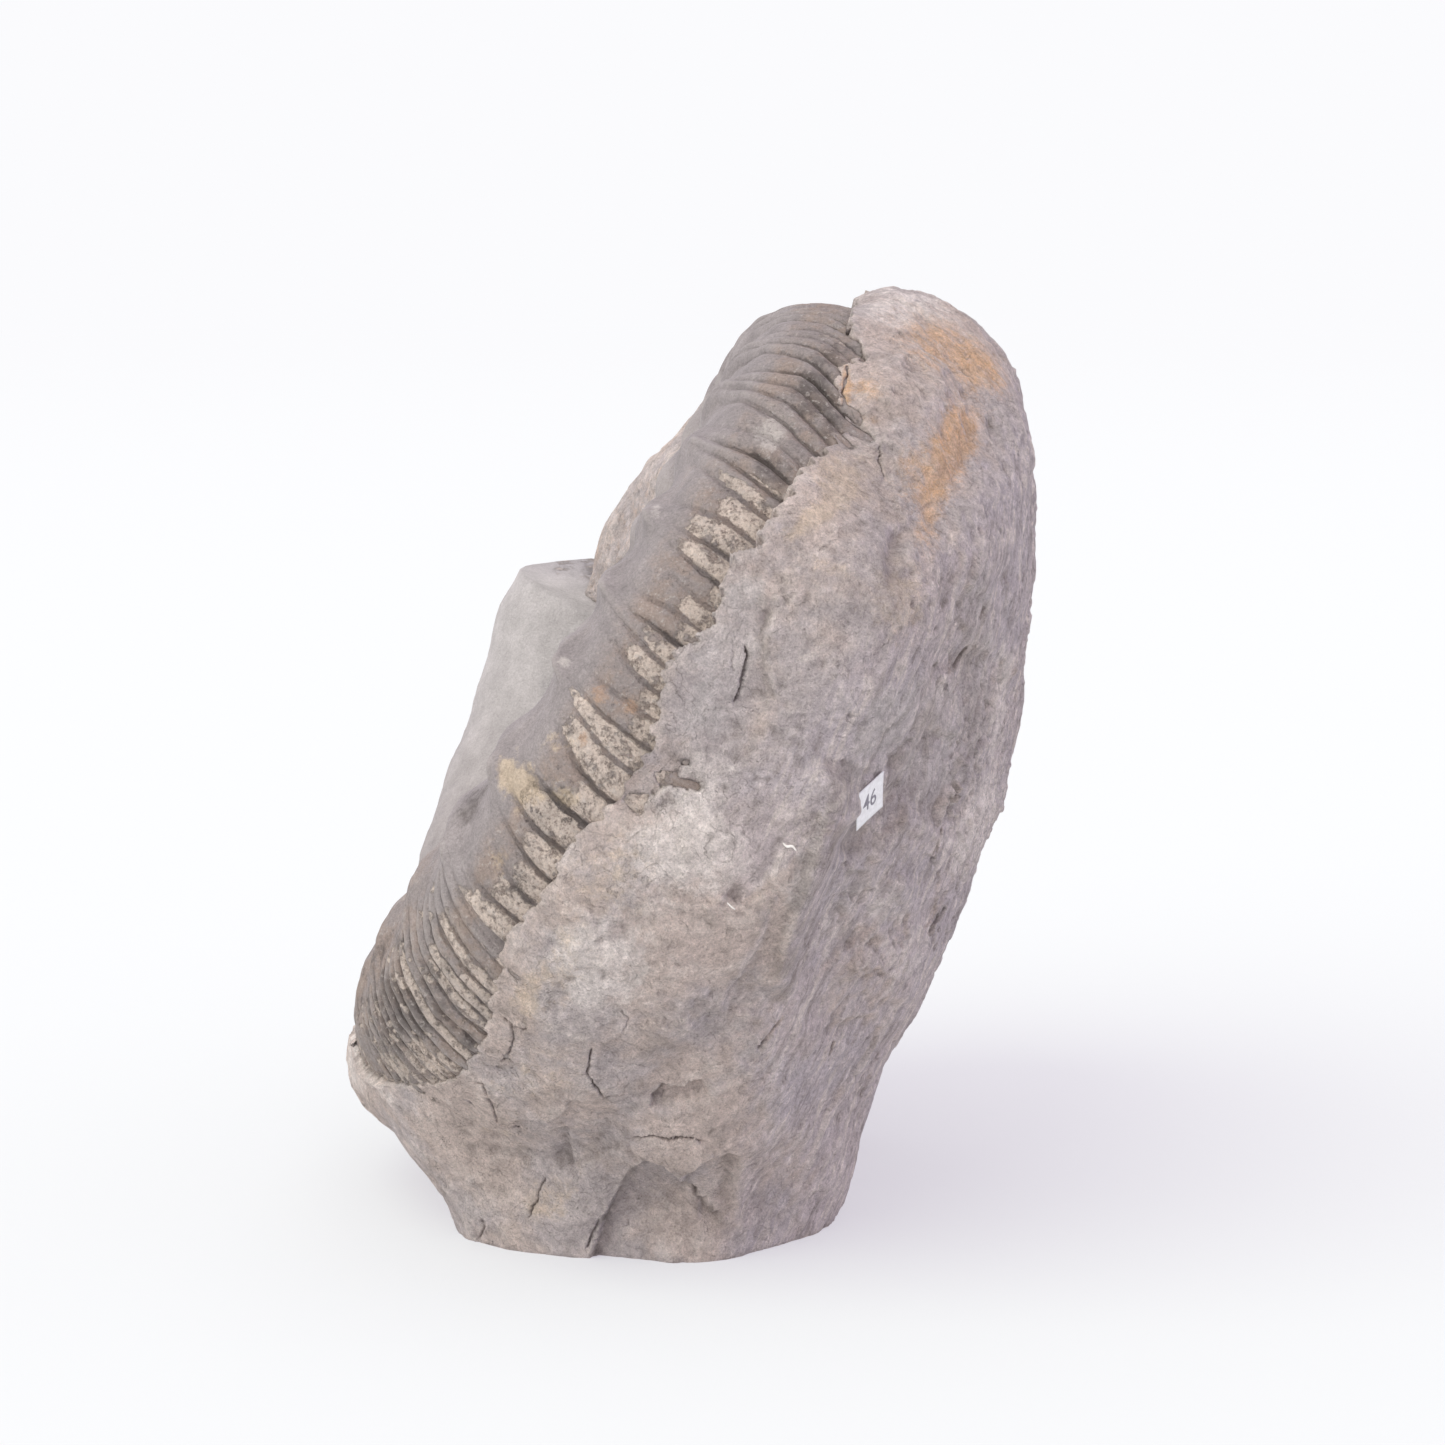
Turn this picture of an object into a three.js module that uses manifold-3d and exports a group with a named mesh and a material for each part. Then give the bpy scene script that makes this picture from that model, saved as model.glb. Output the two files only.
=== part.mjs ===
// A fossil ammonite in its block of siltstone, standing on a flat cut at z = 0.
//
// The shell is a coiled, ribbed disc. It leans back to the right (+X), its open side with the sunken
// centre faces left and up, and an arc of its ribbed rim is bare at the front (-Y). The stone wraps
// the other half of the shell and ends in a foot that is cut off flat. A small paper number is glued
// to the stone's right side. Millimetres, +Z up, origin on the flat cut, near its middle.
import * as THREE from "three";
import { mergeVertices } from "three/addons/utils/BufferGeometryUtils.js";
import Module from "manifold-3d";

const wasm = await Module();
wasm.setup();

// ---- Driving dimensions, in millimetres and degrees ----

// The shell's disc. A turn is an angle along its coil, 0 at the mouth and negative inside.
const SHELL_CENTRE = new THREE.Vector3(3.8, 4, 86.9);
const SHELL_LEAN = 61; // the disc's slope above the ground
const MOUTH_RADIUS = 97.9; // from the coiling axis to the rim, at the mouth
const MOUTH_ANGLE = 269; // from the disc's top, by way of the front, to the mouth
const GROWTH = 1.6; // how much larger each whorl is than the last
const WHORLS = 5;
const HALF_HEIGHT = 0.21; // a whorl's half height towards the axis, as a share of its radius
const HALF_WIDTH = 0.335; // a whorl's half width along the axis, as a share of its radius
const FULLNESS = 2.2; // 2 gives an oval whorl, and more a squarer one

// Where along the coil, over what spread, and by what share of its width the last whorl was squeezed.
const PINCHES = [
  { turn: -72, spread: 36, share: 0.22 }, // at the bottom
  { turn: -230, spread: 85, share: 0.12 }, // at the front
];
const FLARE = { from: -26, to: -6, share: 0.1 }; // it widens before the mouth

// Its ribs: each primary rib ends in a knob on the shoulder, where it splits.
const PRIMARY_RIBS = 27; // in one whorl
const SPLIT = 4; // the fine ribs of each primary rib
const RIB_START = 0.5; // primary ribs from the mouth back to the first crest
const RIB_RADIUS = 77; // the rib heights below are those where the shell has this radius
const PRIMARY_HEIGHT = 1.3;
const PRIMARY_ENDS = [62, 84]; // the side where a primary rib has gone, and where it is whole
const SEAM_GAP = [4, 35]; // how far from the seam it starts, and where it is whole
const KNOB = { height: 2.4, side: 70, length: 0.17, width: 14 }; // length in primary ribs, width in degrees
const FINE_RIB_HEIGHT = 1.1;
const FINE_ENDS = [60, 84]; // the side where a fine rib is whole, and where it has gone
const RIB_LEAN = 4; // how far a fine rib runs forward by the middle of the rim
const LEAN_END = 15; // it leans less than this near the ends of a whorl
const FADE_FROM = -150; // the ribs fade between these two turns
const FADE_TO = -50;
const FADED_SHARE = 0.2;

// The stone. Its outline is a rounded polyhedron around a point on the shell's axis, this far behind it.
const STONE_DEPTH = 18;
const STONE_EDGE = 18; // higher gives sharper edges between its faces

// How far the stone stands proud of the rim: at its edge, further back, over what height it thickens, and
// at the lip below the shell.
const STONE_COVER = { edge: 1.5, back: 3, over: 20, lip: 5.5 };

// Where the stone ends on the rim, above the shell's middle. It is low in front, climbs to a lip over the
// shoulder below the shell, settles behind it, and falls again past the mouth.
const EDGE_HEIGHT = { front: 7, lip: 37, behind: 21 };
const EDGE_CHANGES = { climb: [144, 194], settle: [208, 240], fall: [270, 330] }; // between these angles
const EDGE_WAVE = { height: 1.6, count: 4, start: 10 }; // it wanders this far, this often in a turn

const CLEARANCE = 0.3; // between two pieces that touch

// The paper number: its middle, the way it faces, the way its long side runs, and its size.
const NUMBER_PLACE = new THREE.Vector3(30.6, -62.3, 78.3);
const NUMBER_FACING = new THREE.Vector3(0.8, -0.46, -0.22);
const NUMBER_LONG_WAY = new THREE.Vector3(0.54, 0.76, 0.36);
const NUMBER_SIZE = [8, 5.6, 0.4];

const radians = THREE.MathUtils.degToRad;
const smoothstep = THREE.MathUtils.smoothstep;
const vector = (...xyz) => new THREE.Vector3(...xyz);

// ---- The shell ----

const rimRadius = (turn) => MOUTH_RADIUS * GROWTH ** (turn / 360);
const rounded = (value) => Math.sign(value) * Math.abs(value) ** (2 / FULLNESS);

// How wide a whorl is along the axis, next to its plain width.
function widening(turn) {
  const flare = FLARE.share * smoothstep(turn, FLARE.from, FLARE.to);
  return PINCHES.reduce((width, pinch) => {
    return width - pinch.share * Math.exp(-(((turn - pinch.turn) / pinch.spread) ** 2));
  }, 1 + flare);
}

// A point of a whorl's outline, as [distance from the axis, height towards the open side], in shares of
// the rim's radius. Side is 0 at the middle of the rim and 90 on the open side's shoulder.
function outline(side) {
  return [
    1 - HALF_HEIGHT + HALF_HEIGHT * rounded(Math.cos(radians(side))),
    HALF_WIDTH * rounded(Math.sin(radians(side))),
  ];
}

// The side at which a whorl meets the one inside it, found by halving, and the inner whorl's side there.
const [SEAM, COVER] = (() => {
  const across = ([out]) => (out * GROWTH - 1 + HALF_HEIGHT) / HALF_HEIGHT;
  const along = ([, up]) => (up * GROWTH) / HALF_WIDTH;
  let [clear, met] = [90, 179];
  while (met - clear > 1e-6) {
    const middle = (clear + met) / 2;
    const at = outline(middle);
    if (Math.abs(across(at)) ** FULLNESS + along(at) ** FULLNESS < 1) met = middle;
    else clear = middle;
  }
  const at = outline(clear);
  const [sine, cosine] = [along(at) ** (FULLNESS / 2), across(at) ** (FULLNESS / 2)];
  return [clear, THREE.MathUtils.radToDeg(Math.atan2(sine, cosine))];
})();

// The height of ribs and knobs above the plain whorl. Phase counts primary ribs, and is whole on a crest.
function relief(turn, side, phase = (turn * PRIMARY_RIBS) / 360 + RIB_START) {
  const wave = (count) => 0.5 + 0.5 * Math.cos(2 * Math.PI * count * phase);
  const shown = smoothstep(SEAM - side, ...SEAM_GAP) * smoothstep(side, ...PRIMARY_ENDS);
  const primary = PRIMARY_HEIGHT * shown * wave(1);
  const alongKnob = (phase - Math.round(phase)) / KNOB.length;
  const knob = KNOB.height * Math.exp(-(alongKnob ** 2) - ((side - KNOB.side) / KNOB.width) ** 2);
  const fine = FINE_RIB_HEIGHT * (1 - smoothstep(Math.abs(side), ...FINE_ENDS)) * wave(SPLIT);
  const fade = 1 - (1 - FADED_SHARE) * smoothstep(turn, FADE_FROM, FADE_TO);
  return ((primary + knob + fine) * fade * rimRadius(turn)) / RIB_RADIUS;
}

const SEAM_CLEARING = 1.5; // the pocket's share of the clearance at a seam, where two whorls meet

// A point of the shell in its own frame: x to the front, y up the disc, z to the open side. With a
// clearance it is a point of the pocket that the shell lies in, which is as wide as the rib crests.
function shellPoint(turn, side, clearance) {
  const free = THREE.MathUtils.clamp(Math.min(turn + 360, -turn) / LEAN_END, 0, 1);
  const lean = Math.abs(side) < 90 ? RIB_LEAN * free * Math.cos(radians(side)) : 0;
  const at = turn + lean;
  const [out, up] = outline(side);
  const normal = new THREE.Vector2(
    rounded(Math.cos(radians(side))) / HALF_HEIGHT,
    rounded(Math.sin(radians(side))) / HALF_WIDTH,
  ).normalize();
  if (Math.abs(side) === SEAM) normal.set(0, SEAM_CLEARING * Math.sign(side));
  const rise = clearance ? relief(turn, side, 0) + clearance : relief(turn, side);
  const distance = out * rimRadius(at) + normal.x * rise;
  const angle = radians(MOUTH_ANGLE + at);
  return vector(
    distance * Math.sin(angle),
    distance * Math.cos(angle),
    (up * rimRadius(at) + normal.y * rise) * widening(at),
  );
}

// A mesh under construction. A row is a list of [place along the row, point index].
class Surface {
  points = [];
  faces = [];

  add(point) {
    return this.points.push(point) - 1;
  }

  // Triangles between two rows, each step taken on the row that lags.
  stitch(lower, upper) {
    let [i, j] = [0, 0];
    while (i < lower.length - 1 || j < upper.length - 1) {
      const lowerLags = i < lower.length - 1 && lower[i + 1][0] <= upper[j + 1]?.[0];
      const onLower = j === upper.length - 1 || lowerLags;
      const next = onLower ? lower[i + 1][1] : upper[j + 1][1];
      const face = [lower[i][1], next, upper[j][1]];
      if (new Set(face).size === 3) this.faces.push(face);
      if (onLower) i += 1;
      else j += 1;
    }
  }

  // Triangles from one point to each step of a closed loop of points.
  fan(centre, loop) {
    const hub = this.add(centre);
    loop.forEach((index, k) => this.faces.push([hub, index, loop[(k + 1) % loop.length]]));
  }

  geometry() {
    return new THREE.BufferGeometry().setFromPoints(this.points).setIndex(this.faces.flat());
  }
}

// Places along the coil, counted in fine ribs' crests and furrows: 0 at the mouth, negative inside.
const WHORL = PRIMARY_RIBS * SPLIT * 2;
const START = -WHORL * WHORLS;
const BARE = [-0.84 * WHORL, -0.19 * WHORL]; // the rim that is bare at the front
const smoothStep = () => 4; // the steps of a row along the coil, coarse where little shows
const flankStep = (place) => (place < -2 * WHORL ? 4 : 2);
const rimStep = (place) => (place >= BARE[0] && place < BARE[1] ? 1 : 4);
const buriedStep = (place) => (place < -WHORL ? 8 : 4);

// The sides at which its rows lie.
const OPEN_SIDES = [SEAM, 120, 92, KNOB.side];
const RIM_SIDES = [20, 0, -20];
const BURIED_SIDES = [-90, -SEAM];

// The shell as one closed surface. Its rows run from the open side's seam over the rim to the buried
// side's seam. Inside the last whorl, each outermost row is the seam row of the whorl that covers it.
function shellGeometry(clearance = 0) {
  const surface = new Surface();
  const beyond = THREE.MathUtils.radToDeg(clearance / (MOUTH_RADIUS * (1 - 2 * HALF_HEIGHT)));
  const rowOf = (side, from, stepAt) => {
    const row = [];
    for (let place = from; place <= 0; place += stepAt(place)) {
      const turn = place === 0 ? beyond : (place * 360) / WHORL;
      row.push([place, surface.add(shellPoint(turn, side, clearance))]);
    }
    return row;
  };
  const openStep = clearance ? smoothStep : flankStep;
  const outerStep = clearance ? smoothStep : rimStep;
  const openRows = OPEN_SIDES.map((side) => rowOf(side, START, openStep));
  const buriedRows = BURIED_SIDES.map((side) => rowOf(side, START, buriedStep));
  const seams = [openRows[0], buriedRows[1]];
  const edges = [COVER, -COVER].map((side, k) => {
    const own = rowOf(side, -WHORL, k ? buriedStep : outerStep);
    own[0] = [-WHORL, seams[k].at(-1)[1]];
    const covered = seams[k].filter(([place]) => place >= START + WHORL && place < 0);
    return { own, full: [...covered.map(([place, index]) => [place - WHORL, index]), ...own] };
  });
  const rimRows = RIM_SIDES.map((side) => rowOf(side, -WHORL, outerStep));

  const flank = [...openRows, edges[0].full];
  const rim = [edges[0].own, ...rimRows, edges[1].own];
  const back = [edges[1].full, ...buriedRows];
  for (const rows of [flank, rim, back]) {
    rows.slice(1).forEach((row, k) => surface.stitch(rows[k], row));
  }

  // The mouth lies between the last whorl's end and the whorl inside it.
  const spread = (rows, pick) => rows.map((row, k) => [k / (rows.length - 1), row.at(pick)[1]]);
  surface.stitch(spread(rim, 0), spread([...openRows, ...rim, ...buriedRows], -1));

  // The middle of each side.
  const firstWhorl = (row) => row.filter(([place]) => place <= START + WHORL).map(([, index]) => index);
  const depth = outline(SEAM)[1] * rimRadius(-360 * WHORLS) + clearance;
  const innerEnd = openRows.slice(1).map((row) => row[0][1]);
  surface.fan(vector(0, 0, depth), [...innerEnd, ...firstWhorl(seams[0]).reverse()]);
  surface.fan(vector(0, 0, -depth), [...firstWhorl(seams[1]), buriedRows[0][0][1]]);
  return surface.geometry();
}

// From the shell's own frame to its place in the stone.
const shellFrame = new THREE.Matrix4()
  .makeBasis(
    vector(0, -1, 0),
    vector(Math.cos(radians(SHELL_LEAN)), 0, Math.sin(radians(SHELL_LEAN))),
    vector(-Math.sin(radians(SHELL_LEAN)), 0, Math.cos(radians(SHELL_LEAN))),
  )
  .setPosition(SHELL_CENTRE);

// ---- The stone ----

const shellAxis = vector(0, 0, 1).transformDirection(shellFrame);
const stoneCentre = SHELL_CENTRE.clone().addScaledVector(shellAxis, -STONE_DEPTH);

// A face of the stone: its outward direction, and a point that it passes through.
const stoneFaces = [
  [vector(0.93, -0.05, -0.36), vector(52.5, 0, 62)], // right, leaning in to the foot
  [vector(1, 0, 0.02), vector(60, 0, 113)], // right, upright
  [vector(0.79, 0, 0.61), vector(55.3, 0, 148)], // top right
  [vector(0.1, 0, 0.995), vector(37, 0, 157)], // top
  [vector(0.47, -0.51, 0.72), vector(33, -18, 152)], // top front
  [vector(0.93, -0.34, -0.15), vector(41, -64, 100)], // right front, with the number
  [vector(0.13, -0.985, 0.1), vector(0, -79, 87)], // front
  [vector(0, -0.9, -0.43), vector(0, -61, 38)], // front, leaning in to the foot
  [vector(0.74, -0.57, -0.36), vector(33, -11, 0)], // right front of the foot
  [vector(-0.5, -0.8, -0.33), vector(-36, -37, 20)], // left front of the foot
  [vector(-0.88, 0, -0.47), vector(-48.3, 0, 17)], // left of the foot
  [vector(-0.45, 0.84, -0.4), vector(-38, 60, 20)], // left back of the foot
  [vector(0.1, 0.8, -0.6), vector(0, 66, 20)], // back of the foot
  [vector(0.75, 0.65, -0.1), vector(50, 62, 85)], // right back
  [vector(0.5, 0.7, 0.5), vector(40, 64, 125)], // top back
  [vector(0.1, 0.99, 0), vector(4, 108, 87)], // back
  [vector(0.28, 0.82, 0.5), vector(40, 76, 122)], // far top, past the shell's mouth
  [vector(0.44, 0.42, 0.79), vector(48, 37, 143)], // and up to the top
].map(([direction, point]) => {
  const normal = direction.clone().normalize();
  return { normal, distance: normal.dot(point.clone().sub(stoneCentre)) };
});

// Broad lumps and hollows: around a line from a to b, this wide, and this far out or in.
const stoneLumps = [
  { a: vector(46, -48, 100), b: vector(34, -60, 84), wide: 10, rise: -6 }, // hollow behind the front edge
  { a: vector(38, -52, 118), b: vector(38, -56, 113), wide: 6, rise: -2 }, // dimple high on the front
  { a: vector(30, -66, 92), b: vector(22, -70, 72), wide: 9, rise: 2 }, // the front edge itself
  { a: vector(-52, 5, 24), b: vector(-50, 50, 26), wide: 15, rise: 1 }, // swelling, left under the shell
  { a: vector(37, -28, 18), b: vector(37, 34, 20), wide: 13, rise: -3.5 }, // waist above the foot
  { a: vector(-26, -40, 16), b: vector(-16, -46, 20), wide: 8, rise: -3 }, // scoops struck from the foot
  { a: vector(-3, -42, 9), b: vector(10, -40, 11), wide: 8, rise: -4 },
  { a: vector(40, 50, 60), b: vector(20, 84, 84), wide: 14, rise: -4 }, // and from the back
  { a: vector(45, 20, 132), b: vector(50, 44, 112), wide: 12, rise: -3 },
];
const ROUGHNESS = 0.8; // a gentle unevenness all over

// Past the mouth, what filled the next part of the shell is left as a rough lump: the middle of its arc,
// half its arc, half its height towards the axis, half its width, and how far its ends rise and fall.
const FILLING = { angle: 311, arc: 47, across: 19, high: 19, falls: 12 };

// The rim that the stone follows, all round the shell from its top. Past the mouth it closes the ring.
function followedRadius(around) {
  if (around < MOUTH_ANGLE) return rimRadius(around - MOUTH_ANGLE);
  const share = (around - MOUTH_ANGLE) / (360 - MOUTH_ANGLE);
  return THREE.MathUtils.lerp(MOUTH_RADIUS, rimRadius(-MOUTH_ANGLE), share);
}

function edgeHeight(around) {
  const { front, lip, behind } = EDGE_HEIGHT;
  const [climb, settle, fall] = Object.values(EDGE_CHANGES).map((ends) => smoothstep(around, ...ends));
  const wave = EDGE_WAVE.height * Math.cos(radians(EDGE_WAVE.count * (around - EDGE_WAVE.start)));
  return front + (lip - front) * climb - (lip - behind) * settle - (behind - front) * fall + wave;
}

// How far the lip has risen, from 0 to 1.
function lipShare(around) {
  return smoothstep(around, ...EDGE_CHANGES.climb) - smoothstep(around, ...EDGE_CHANGES.settle);
}

// How far from the stone's centre a ray leaves the last whorl, with the stone's cover on it. It is looked
// for from outside the block inwards.
const SEARCH = { from: 160, to: 40, step: 0.25 };
function coverReach(along, across, radius, edge, width, lip) {
  for (let reach = SEARCH.from; reach > SEARCH.to; reach -= SEARCH.step) {
    const [out, up] = [across * reach, along * reach - STONE_DEPTH];
    const thinning = smoothstep(up, edge - STONE_COVER.over, edge);
    const thin = THREE.MathUtils.lerp(STONE_COVER.back, STONE_COVER.edge, thinning);
    const cover = THREE.MathUtils.lerp(thin, STONE_COVER.lip, lip);
    const o = (out - radius * (1 - HALF_HEIGHT)) / (radius * HALF_HEIGHT + cover);
    const u = up / (width + cover);
    if (Math.abs(o) ** FULLNESS + Math.abs(u) ** FULLNESS < 1) return reach;
  }
  return 0;
}

// How far it reaches the bowl that the stone ends in, inside the shell.
function bowlReach(along, across, radius, edge) {
  const curve = edge * (across / radius) ** 2;
  const root = along ** 2 - 4 * curve * STONE_DEPTH;
  return along <= 0 || root < 0 ? Infinity : (along - Math.sqrt(root)) / (2 * curve + 1e-9);
}

const shellUp = vector(0, 1, 0).transformDirection(shellFrame);

// How far a place on the stone is pushed out by its lumps and unevenness.
function stoneRise(point) {
  const uneven = Math.sin(point.x / 7 + 1) * Math.sin(point.y / 9) + Math.sin(point.z / 8 - point.y / 12);
  return stoneLumps.reduce((total, { a, b, wide, rise }) => {
    const nearest = new THREE.Line3(a, b).closestPointToPoint(point, true, vector());
    return total + rise * Math.exp(-((nearest.distanceTo(point) / wide) ** 2));
  }, (ROUGHNESS * uneven) / 2);
}

function stonePoint(direction) {
  const sum = stoneFaces.reduce((total, { normal, distance }) => {
    return total + Math.max(0, direction.dot(normal) / distance) ** STONE_EDGE;
  }, 0);
  const along = direction.dot(shellAxis);
  const across = Math.sqrt(1 - along ** 2);
  const around = (THREE.MathUtils.radToDeg(Math.atan2(-direction.y, direction.dot(shellUp))) + 360) % 360;
  const radius = followedRadius(around);
  const shell = [along, across, radius, edgeHeight(around)];
  const block = sum ** (-1 / STONE_EDGE);
  const width = radius * HALF_WIDTH * widening(Math.min(around - MOUTH_ANGLE, 0));
  const cover = coverReach(...shell, width, lipShare(around));
  const rise = stoneRise(direction.clone().multiplyScalar(Math.max(block, cover)).add(stoneCentre));
  const reach = Math.min(bowlReach(...shell), Math.max(block + rise, cover + Math.max(0, rise)));
  return direction.clone().multiplyScalar(reach).add(stoneCentre);
}

// ---- The paper number ----

// A plate where the paper is, with this much more all round and this much more in front.
function numberPlate(margin = 0, front = 0) {
  const facing = NUMBER_FACING.clone().normalize();
  const shortWay = facing.clone().cross(NUMBER_LONG_WAY).normalize();
  const [long, short, thick] = NUMBER_SIZE.map((size) => size + 2 * margin);
  const place = new THREE.Matrix4().makeBasis(shortWay.clone().cross(facing), shortWay, facing);
  return new THREE.BoxGeometry(long, short, thick + front)
    .translate(0, 0, front / 2)
    .applyMatrix4(place.setPosition(NUMBER_PLACE));
}

// ---- Solids ----

// The same faces with each corner shared.
function joined(geometry, tolerance = 1e-4) {
  const bare = new THREE.BufferGeometry().setAttribute("position", geometry.getAttribute("position"));
  return mergeVertices(bare.setIndex(geometry.index), tolerance);
}

function toManifold(geometry) {
  const merged = joined(geometry);
  return new wasm.Manifold(
    new wasm.Mesh({
      numProp: 3,
      vertProperties: Float32Array.from(merged.attributes.position.array),
      triVerts: Uint32Array.from(merged.index.array),
    }),
  );
}

function fromManifold(solid) {
  const mesh = solid.getMesh();
  const geometry = new THREE.BufferGeometry();
  geometry.setAttribute("position", new THREE.BufferAttribute(mesh.vertProperties, 3));
  return geometry.setIndex(new THREE.BufferAttribute(mesh.triVerts, 1));
}

const STONE_DETAIL = 12; // how finely the stone's surface is divided
const FILLING_DETAIL = 4;
const UNDER = { width: 400, depth: 100 }; // the block that is cut away below the foot
const SEAT_DEPTH = 8; // how far the paper's seat is cleared in front

// A ball of triangles with each of its corners moved to where the function puts that direction.
function shapedBall(detail, pointOf) {
  const ball = joined(new THREE.IcosahedronGeometry(1, detail));
  const place = ball.getAttribute("position");
  const at = vector();
  for (let k = 0; k < place.count; k += 1) {
    const point = pointOf(at.fromBufferAttribute(place, k).normalize());
    place.setXYZ(k, point.x, point.y, point.z);
  }
  return ball;
}

// A rough rounded block, bent along the coil.
function fillingPoint(direction) {
  const square = direction.toArray().reduce((total, share) => total + Math.abs(share) ** 3, 0) ** (-1 / 3);
  const wobble = 1 + 0.05 * Math.sin(7 * direction.x + 2) * Math.cos(6 * direction.y + 4 * direction.z);
  const { x, y, z } = direction.clone().multiplyScalar(square * wobble);
  const around = FILLING.angle + FILLING.arc * x;
  const out = followedRadius(Math.min(around, 360)) * (1 - HALF_HEIGHT) + FILLING.across * y;
  const angle = radians(around);
  return vector(out * Math.sin(angle), out * Math.cos(angle), FILLING.high * z - FILLING.falls * x);
}

function stoneSolid() {
  const below = new THREE.BoxGeometry(UNDER.width, UNDER.width, UNDER.depth);
  const under = toManifold(below.translate(0, 0, -UNDER.depth / 2));
  const pocket = toManifold(shellGeometry(CLEARANCE).applyMatrix4(shellFrame));
  const filling = shapedBall(FILLING_DETAIL, fillingPoint).applyMatrix4(shellFrame);
  const seat = toManifold(numberPlate(CLEARANCE, SEAT_DEPTH));
  const whole = [under, pocket, seat].reduce(
    (left, cut) => left.subtract(cut),
    toManifold(shapedBall(STONE_DETAIL, stonePoint)).add(toManifold(filling)),
  );
  return whole.decompose().sort((one, other) => other.volume() - one.volume())[0];
}

// ---- Build ----

const fossil = new THREE.Group();

function addPiece(name, geometry, color, roughness) {
  const mesh = new THREE.Mesh(geometry, new THREE.MeshStandardMaterial({ color, roughness, metalness: 0 }));
  mesh.name = name;
  fossil.add(mesh);
}

addPiece("ammonite", shellGeometry().applyMatrix4(shellFrame), 0x7f7c7a, 0.6);
addPiece("matrix_rock", fromManifold(stoneSolid()), 0x9b928b, 0.95);
addPiece("paper_number", numberPlate(), 0xe9e9e6, 0.8);

export default fossil;
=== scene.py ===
"""The looks of an ammonite fossil in its block of siltstone.

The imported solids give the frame. The shell, the stone and the paper number are modelled again here at
full detail, each in the place of its solid, with a few loose crumbs on the stone. Shapes are worked
out in millimetres and written to the meshes in metres. A turn is an angle along the shell's coil, 0 at
its mouth and negative inside, and a side is an angle round a whorl, 0 at the middle of the rim and 90
on the shoulder of the open side. Marks on the front of the block are placed where the scene's camera
sees them, in a picture of 1445 by 1445 pixels.
"""
from __future__ import annotations

import logging
import math
from dataclasses import dataclass, field
from enum import Enum
from typing import Callable, Sequence

import bpy
import numpy as np
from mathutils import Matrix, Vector


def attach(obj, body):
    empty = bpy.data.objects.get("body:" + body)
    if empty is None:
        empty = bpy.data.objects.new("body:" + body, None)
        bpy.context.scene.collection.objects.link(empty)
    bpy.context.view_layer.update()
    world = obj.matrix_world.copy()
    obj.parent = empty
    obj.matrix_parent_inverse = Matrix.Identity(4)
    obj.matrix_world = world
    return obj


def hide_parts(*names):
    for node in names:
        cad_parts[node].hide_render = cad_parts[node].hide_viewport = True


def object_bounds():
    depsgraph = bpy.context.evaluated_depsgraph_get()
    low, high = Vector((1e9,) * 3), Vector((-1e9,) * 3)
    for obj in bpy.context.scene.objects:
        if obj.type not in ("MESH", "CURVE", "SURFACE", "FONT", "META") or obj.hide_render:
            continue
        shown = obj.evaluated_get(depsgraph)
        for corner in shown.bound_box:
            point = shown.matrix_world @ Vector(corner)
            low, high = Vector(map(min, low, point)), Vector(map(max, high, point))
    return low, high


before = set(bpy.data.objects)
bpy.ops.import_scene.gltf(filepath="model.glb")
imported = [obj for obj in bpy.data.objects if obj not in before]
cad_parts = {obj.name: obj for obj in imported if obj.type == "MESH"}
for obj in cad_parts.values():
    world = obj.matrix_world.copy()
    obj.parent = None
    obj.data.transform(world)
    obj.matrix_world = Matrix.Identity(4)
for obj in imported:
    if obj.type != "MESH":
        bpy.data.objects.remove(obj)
CAD_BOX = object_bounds()

MM = 0.001
Piece = bpy.types.Object
Socket = bpy.types.NodeSocket
Array = np.ndarray
Pixel = tuple[float, float]
Span = tuple[float, float]
Place = tuple[float, float, float]
Colour = tuple[float, float, float]

logging.basicConfig(level=logging.INFO, format="%(message)s")
log = logging.getLogger("ammonite")


class Body(str, Enum):
    """The bodies that a piece can ride on."""

    WHOLE = "root"


class Slot(str, Enum):
    """The record's material slots."""

    SHELL = "shell"
    STONE = "siltstone"
    PAPER = "paper"


class Mark(str, Enum):
    """The point attributes that the finishes read, each from 0 to 1."""

    RUST = "rust"
    OCHRE = "ochre"
    PALE = "pale"
    SLATE = "slate"
    # Dark patches, and on the stone painted shade in the hollows and in strips beside the ridge and the
    # corner.
    SOIL = "shade_and_dark_patches"
    # Painted shade: dark lines in the shell's furrows and in the stone's cracks.
    GROOVE = "furrow_and_crack_shade"
    FLAKE = "flake"
    # Painted highlight on proud edges.
    EDGE = "edge"
    # Layer streaks, under a painted cool shade, on faces that look right and beside the ridge.
    STREAK = "streak_and_shade"
    RIB = "rib"
    FADED = "faded"


# ---- Number work ----


def smoothstep(value: Array, low: float, high: float) -> Array:
    """0 below low, 1 above high, and a smooth rise between them."""
    share = np.clip((value - low) / (high - low), 0.0, 1.0)
    return share * share * (3.0 - 2.0 * share)


def unit(vectors: Array) -> Array:
    """The vectors at length 1."""
    return vectors / np.maximum(np.linalg.norm(vectors, axis=-1, keepdims=True), 1e-12)


def bell(distance: Array, wide: float) -> Array:
    """1 at distance 0, falling off over that width."""
    return np.exp(-((distance / wide) ** 2))


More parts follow.
